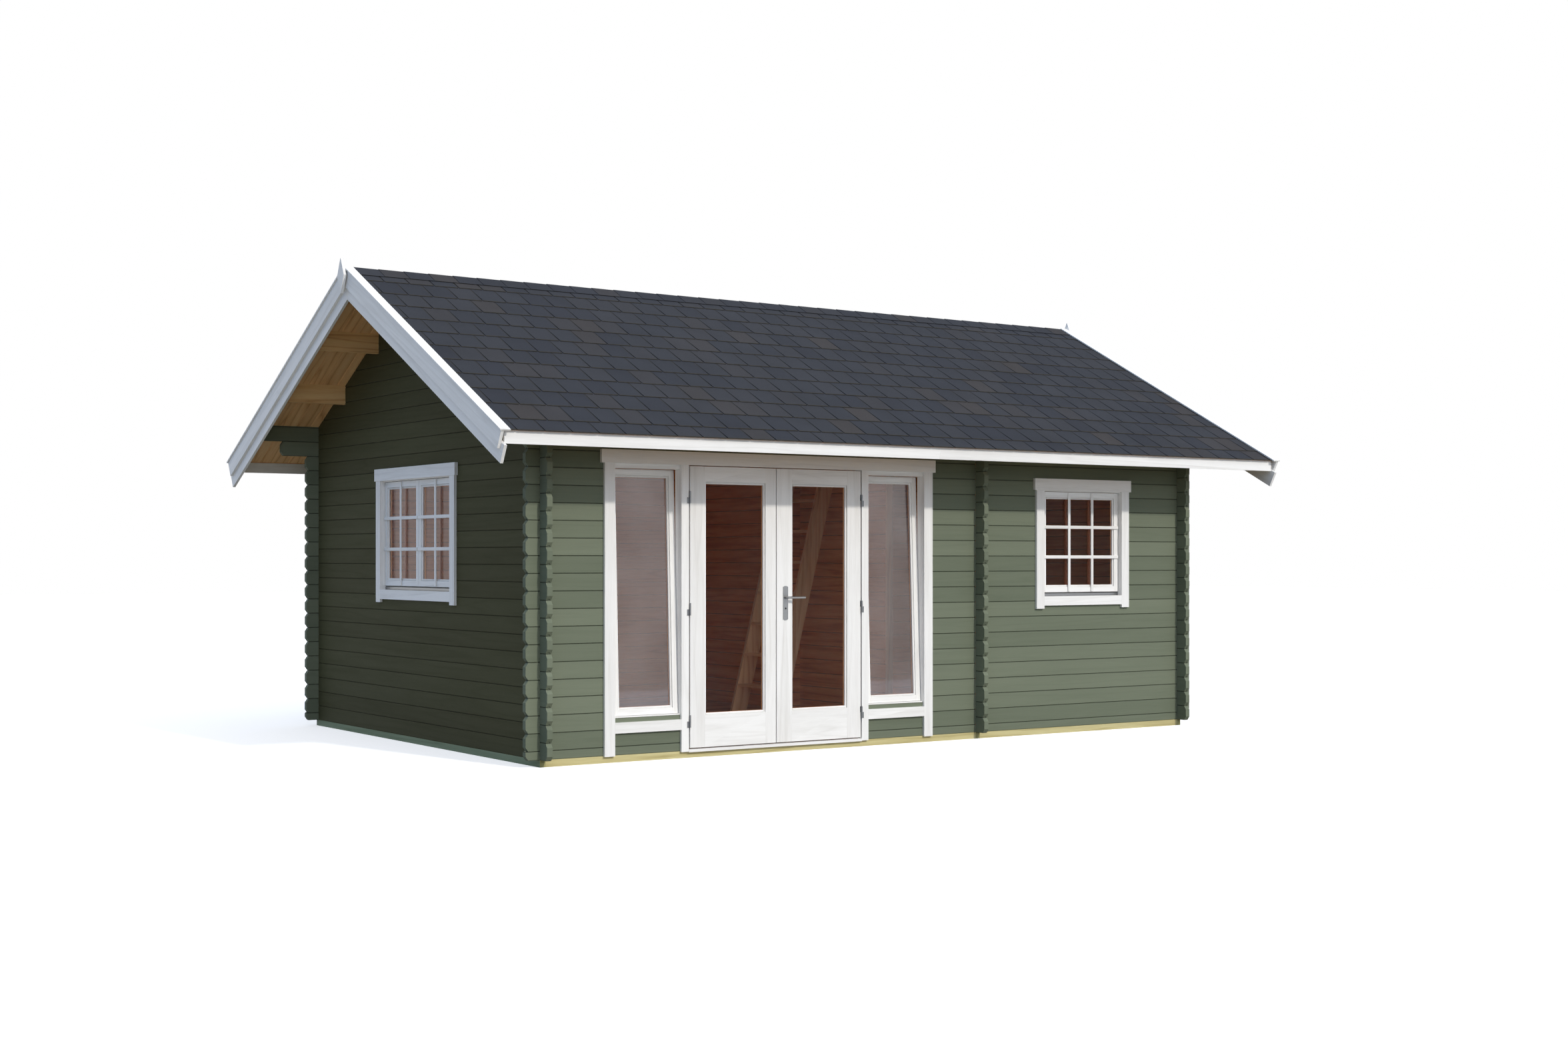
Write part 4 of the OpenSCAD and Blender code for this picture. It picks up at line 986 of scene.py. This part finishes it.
# %% Ridge tabs
RIDGE_W = 0.125
RIDGE_JOINT = 0.002
RIDGE_SEAT = 0.0003
RIDGE_COVERED, RIDGE_SIDE = 0.55, 0.6
ridge_low, ridge_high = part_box("ridge_shingles")
ridge_n = ROOF_T + TAB_T + RIDGE_SEAT


def ridge_tabs():
    made = Boards()
    count = round((ridge_high.x - ridge_low.x) / TAB_W)
    width = (ridge_high.x - ridge_low.x) / count
    lower = slope_len - RIDGE_W
    for i in range(count):
        a = ridge_low.x + i * width + RIDGE_JOINT / 2
        b = ridge_low.x + (i + 1) * width - RIDGE_JOINT / 2
        for side in (1, -1):
            place = on_slope(side)
            ends = []
            for x, rise in ((a, TAB_T), (b, TAB_T * RIDGE_COVERED)):
                face = ridge_n + rise
                outline = [(x, lower, ridge_n), (x, slope_len + ridge_n * tan_a, ridge_n),
                           (x, slope_len + face * tan_a, face), (x, lower, ridge_n + rise * RIDGE_SIDE)]
                ends.append([place(point) for point in outline])
            made.solid(ends[::-side], [[TOP, TOP, TOP, CUT]])
    piece = made.piece("ridge_tabs", [shingle_top, shingle_edge])
    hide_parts("ridge_shingles")


ridge_tabs()

# %% [markdown]
# Each sash carries a lattice of slim bars: on the front window it makes three by three panes, on the
# two gable sashes two by three. The outer lattice lies on the sash and runs over its rails. A second
# one of bare wood stands inside, so a brown line shows beside each white bar, seen at an angle.
# Lines on the glass would look flat from the side, so every bar is a small bevelled board.

# %% Window bars
BAR_W, BAR_T = 0.025, 0.010
BAR_OVER = 0.036
BAR_BEVEL = 0.003
BAR_INSET = 0.0006
SEAT = 0.0003
UPRIGHT = 2
BAR_WOOD = srgb(180, 112, 74), srgb(154, 90, 58), srgb(112, 64, 40)
bar_wood = [bare_wood(f"bar_wood_{along}", along, *BAR_WOOD) for along in "xyz"]


def panes(node):
    """Boxes of the separate panes in a packed glass piece."""
    mesh = nodes[node].data
    return [box_of(mesh, solid) for solid in solids_of(mesh)]


def window_point(thin, deep, across, z):
    """A point of a window whose axis through the glass is thin: 1 at the front, 0 at the gable."""
    return (across, deep, z) if thin else (deep, across, z)


def window_bar(made, thin, deep, across, up, bevel, along, slot, place=tuple):
    """A bar from its range through the glass, across the window and upwards."""
    low, high = [window_point(thin, *corner) for corner in zip(deep, across, up)]
    made.bar(low, high, bevel, along, place, slot)


def window_bars(window, sash, columns, rows, thin, finishes):
    """Two lattices over each pane of a window, the inner one of bare wood."""
    made = Boards()
    wide = 1 - thin
    face, back = [corner[thin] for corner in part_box(sash)]
    outer = (face - BAR_T, face - SEAT), BAR_OVER, 0
    inner = (back - BAR_T, back), 0.0, 2
    for low, high in panes(f"{window}_glass"):
        for deep, over, slot in (outer, inner):
            inset = deep[0] + BAR_INSET, deep[1] - BAR_INSET
            for i in range(1, columns):
                left = low[wide] + (high[wide] - low[wide]) * i / columns - BAR_W / 2
                window_bar(made, thin, deep, (left, left + BAR_W), (low.z - over, high.z + over),
                           BAR_BEVEL, UPRIGHT, slot + 1)
            for i in range(1, rows):
                foot = low.z + (high.z - low.z) * i / rows - BAR_W / 2
                window_bar(made, thin, inset, (low[wide] - over, high[wide] + over),
                           (foot, foot + BAR_W), BAR_BEVEL, wide, slot)
    piece = made.piece(f"{window}_bars", [finishes[wide], finishes[2], bar_wood[wide], bar_wood[2]])


window_bars("front_window", "front_window_sash", 3, 3, 1, window_paint)
window_bars("gable_window", "gable_window_sashes", 2, 3, 0, gable_paint)

# %% [markdown]
# Beads hold the panes: thin strips on all four sides of each face, in windows and doors alike. A
# bevel on the frame's inner edge would look much the same from far away, but a strip of its own
# shows the joint. In a tipped window the strips lean back with the glass.

# %% Glazing beads
BEAD_OUT = 0.011
BEAD_W = 0.014
BEAD_BEVEL = 0.004


def glazing_beads(node, name, body, thin, finishes, lean=0.0):
    """A bead round each pane, on both faces; lean is how far a tipped pane goes back for its height."""
    made = Boards()
    wide = 1 - thin
    for low, high in panes(node):
        def tipped(point, foot=low.z):
            return (point[0], point[1] + (point[2] - foot) * lean, point[2])

        front, back = low[thin] - SEAT, low[thin] + GLASS_T + SEAT
        between = low[wide] + BEAD_W, high[wide] - BEAD_W
        for deep in ((front - BEAD_OUT, front), (back, back + BEAD_OUT)):
            for left in (low[wide], high[wide] - BEAD_W):
                window_bar(made, thin, deep, (left, left + BEAD_W), (low.z, high.z),
                           BEAD_BEVEL, UPRIGHT, 1, tipped)
            for foot in (low.z, high.z - BEAD_W):
                window_bar(made, thin, deep, between, (foot, foot + BEAD_W),
                           BEAD_BEVEL, wide, 0, tipped)
    piece = made.piece(name, [finishes[wide], finishes[2]], body)


glazing_beads("front_window_glass", "front_window_beads", "house", 1, window_paint)
glazing_beads("gable_window_glass", "gable_window_beads", "house", 0, gable_paint)
glazing_beads("left_door_glass", "left_door_beads", "left_door", 1, door_paint)
glazing_beads("right_door_glass", "right_door_beads", "right_door", 1, door_paint)
glazing_beads("side_light_glass", "side_light_beads", "house", 1, light_paint, LEAN)

# %% [markdown]
# Under each window sash lies a grey rain rail, a metal strip that leads water from the sash to the
# sill's slope. A boolean cut could make its profile, but five points drawn along the sill do it.

# %% Rain rails
FRAME_W = 0.036
SILL_STEP, SILL_FALL = 0.028, 0.004
STEP_DEPTH = 0.052
RAIL_FRONT = 0.024
RAIL_NOSE = 0.009
RAIL_GAP = 0.001


def rain_rail(window, sash, thin):
    low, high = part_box(f"{window}_frame")
    wide = 1 - thin
    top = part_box(sash)[0].z - RAIL_GAP
    back = STEP_DEPTH - RAIL_GAP
    front_foot, back_foot = [low.z + SILL_STEP + SILL_FALL * deep / STEP_DEPTH + RAIL_GAP
                             for deep in (RAIL_FRONT, back)]
    profile = [(RAIL_FRONT, front_foot), (back, back_foot), (back, top), (RAIL_FRONT + RAIL_NOSE, top),
               (RAIL_FRONT, top - RAIL_NOSE)]
    ends = [[window_point(thin, low[thin] + deep, across, z) for deep, z in profile]
            for across in (low[wide] + FRAME_W + RAIL_GAP, high[wide] - FRAME_W - RAIL_GAP)]
    made = Boards()
    made.solid(ends if thin else ends[::-1])
    piece = made.piece(f"{window}_rain_rail", [steel])


rain_rail("front_window", "front_window_sash", 1)
rain_rail("gable_window", "gable_window_sashes", 0)

# %% [markdown]
# In each lock plate sits a key cylinder: a dark metal face with a slit for the key. The slit is a
# thin strip in the felt's near black, painted shade where a real slit would be a hole. It could be a
# spot of colour on the plate, but a real face set back in the plate's hole also keeps its shape
# when the door opens, because it rides on the door.

# %% Key cylinders
KEY_DROP = 0.075
KEY_R = 0.0067
PLATE_T = 0.004
FACE_IN = 0.0006
SLIT_W, SLIT_H, SLIT_T = 0.0022, 0.0086, FACE_IN / 2
CORNERS = 24


def dark_metal():
    material, shader, place = finish_of("dark_cylinder_metal")
    fine = noise(place, 700.0, 2.0)
    feed(shader, Base_Color=fine.mix(srgb(34, 34, 36), srgb(54, 54, 56)), Metallic=0.6,
         Roughness=fine.map(0.3, 0.7, 0.40, 0.60))
    return material


def key_cylinders(body):
    made = Boards()
    plate_low, plate_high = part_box("lock_plates")
    lever_low, lever_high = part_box("lever_handle")
    x = (plate_low.x + plate_high.x) / 2
    z = (lever_low.z + lever_high.z) / 2 - KEY_DROP
    turns = [2 * math.pi * i / CORNERS for i in range(CORNERS)]
    rim = [(x + KEY_R * math.cos(t), z + KEY_R * math.sin(t)) for t in turns]
    for near, far in ((plate_low.y + FACE_IN, plate_low.y + PLATE_T),
                      (plate_high.y - PLATE_T, plate_high.y - FACE_IN)):
        made.solid([[(u, y, v) for u, v in rim] for y in (far, near)])
    # The slit: a thin dark strip in the felt's colour, painted shade for the depth of a key's slot.
    for y in (plate_low.y + FACE_IN / 2, plate_high.y - FACE_IN / 2):
        made.bar((x - SLIT_W / 2, y - SLIT_T / 2, z - SLIT_H / 2),
                 (x + SLIT_W / 2, y + SLIT_T / 2, z + SLIT_H / 2), along=UPRIGHT, slot=1)
    piece = made.piece("key_cylinders", [dark_metal(), felt_and_slot_shade], body)


key_cylinders("right_door")
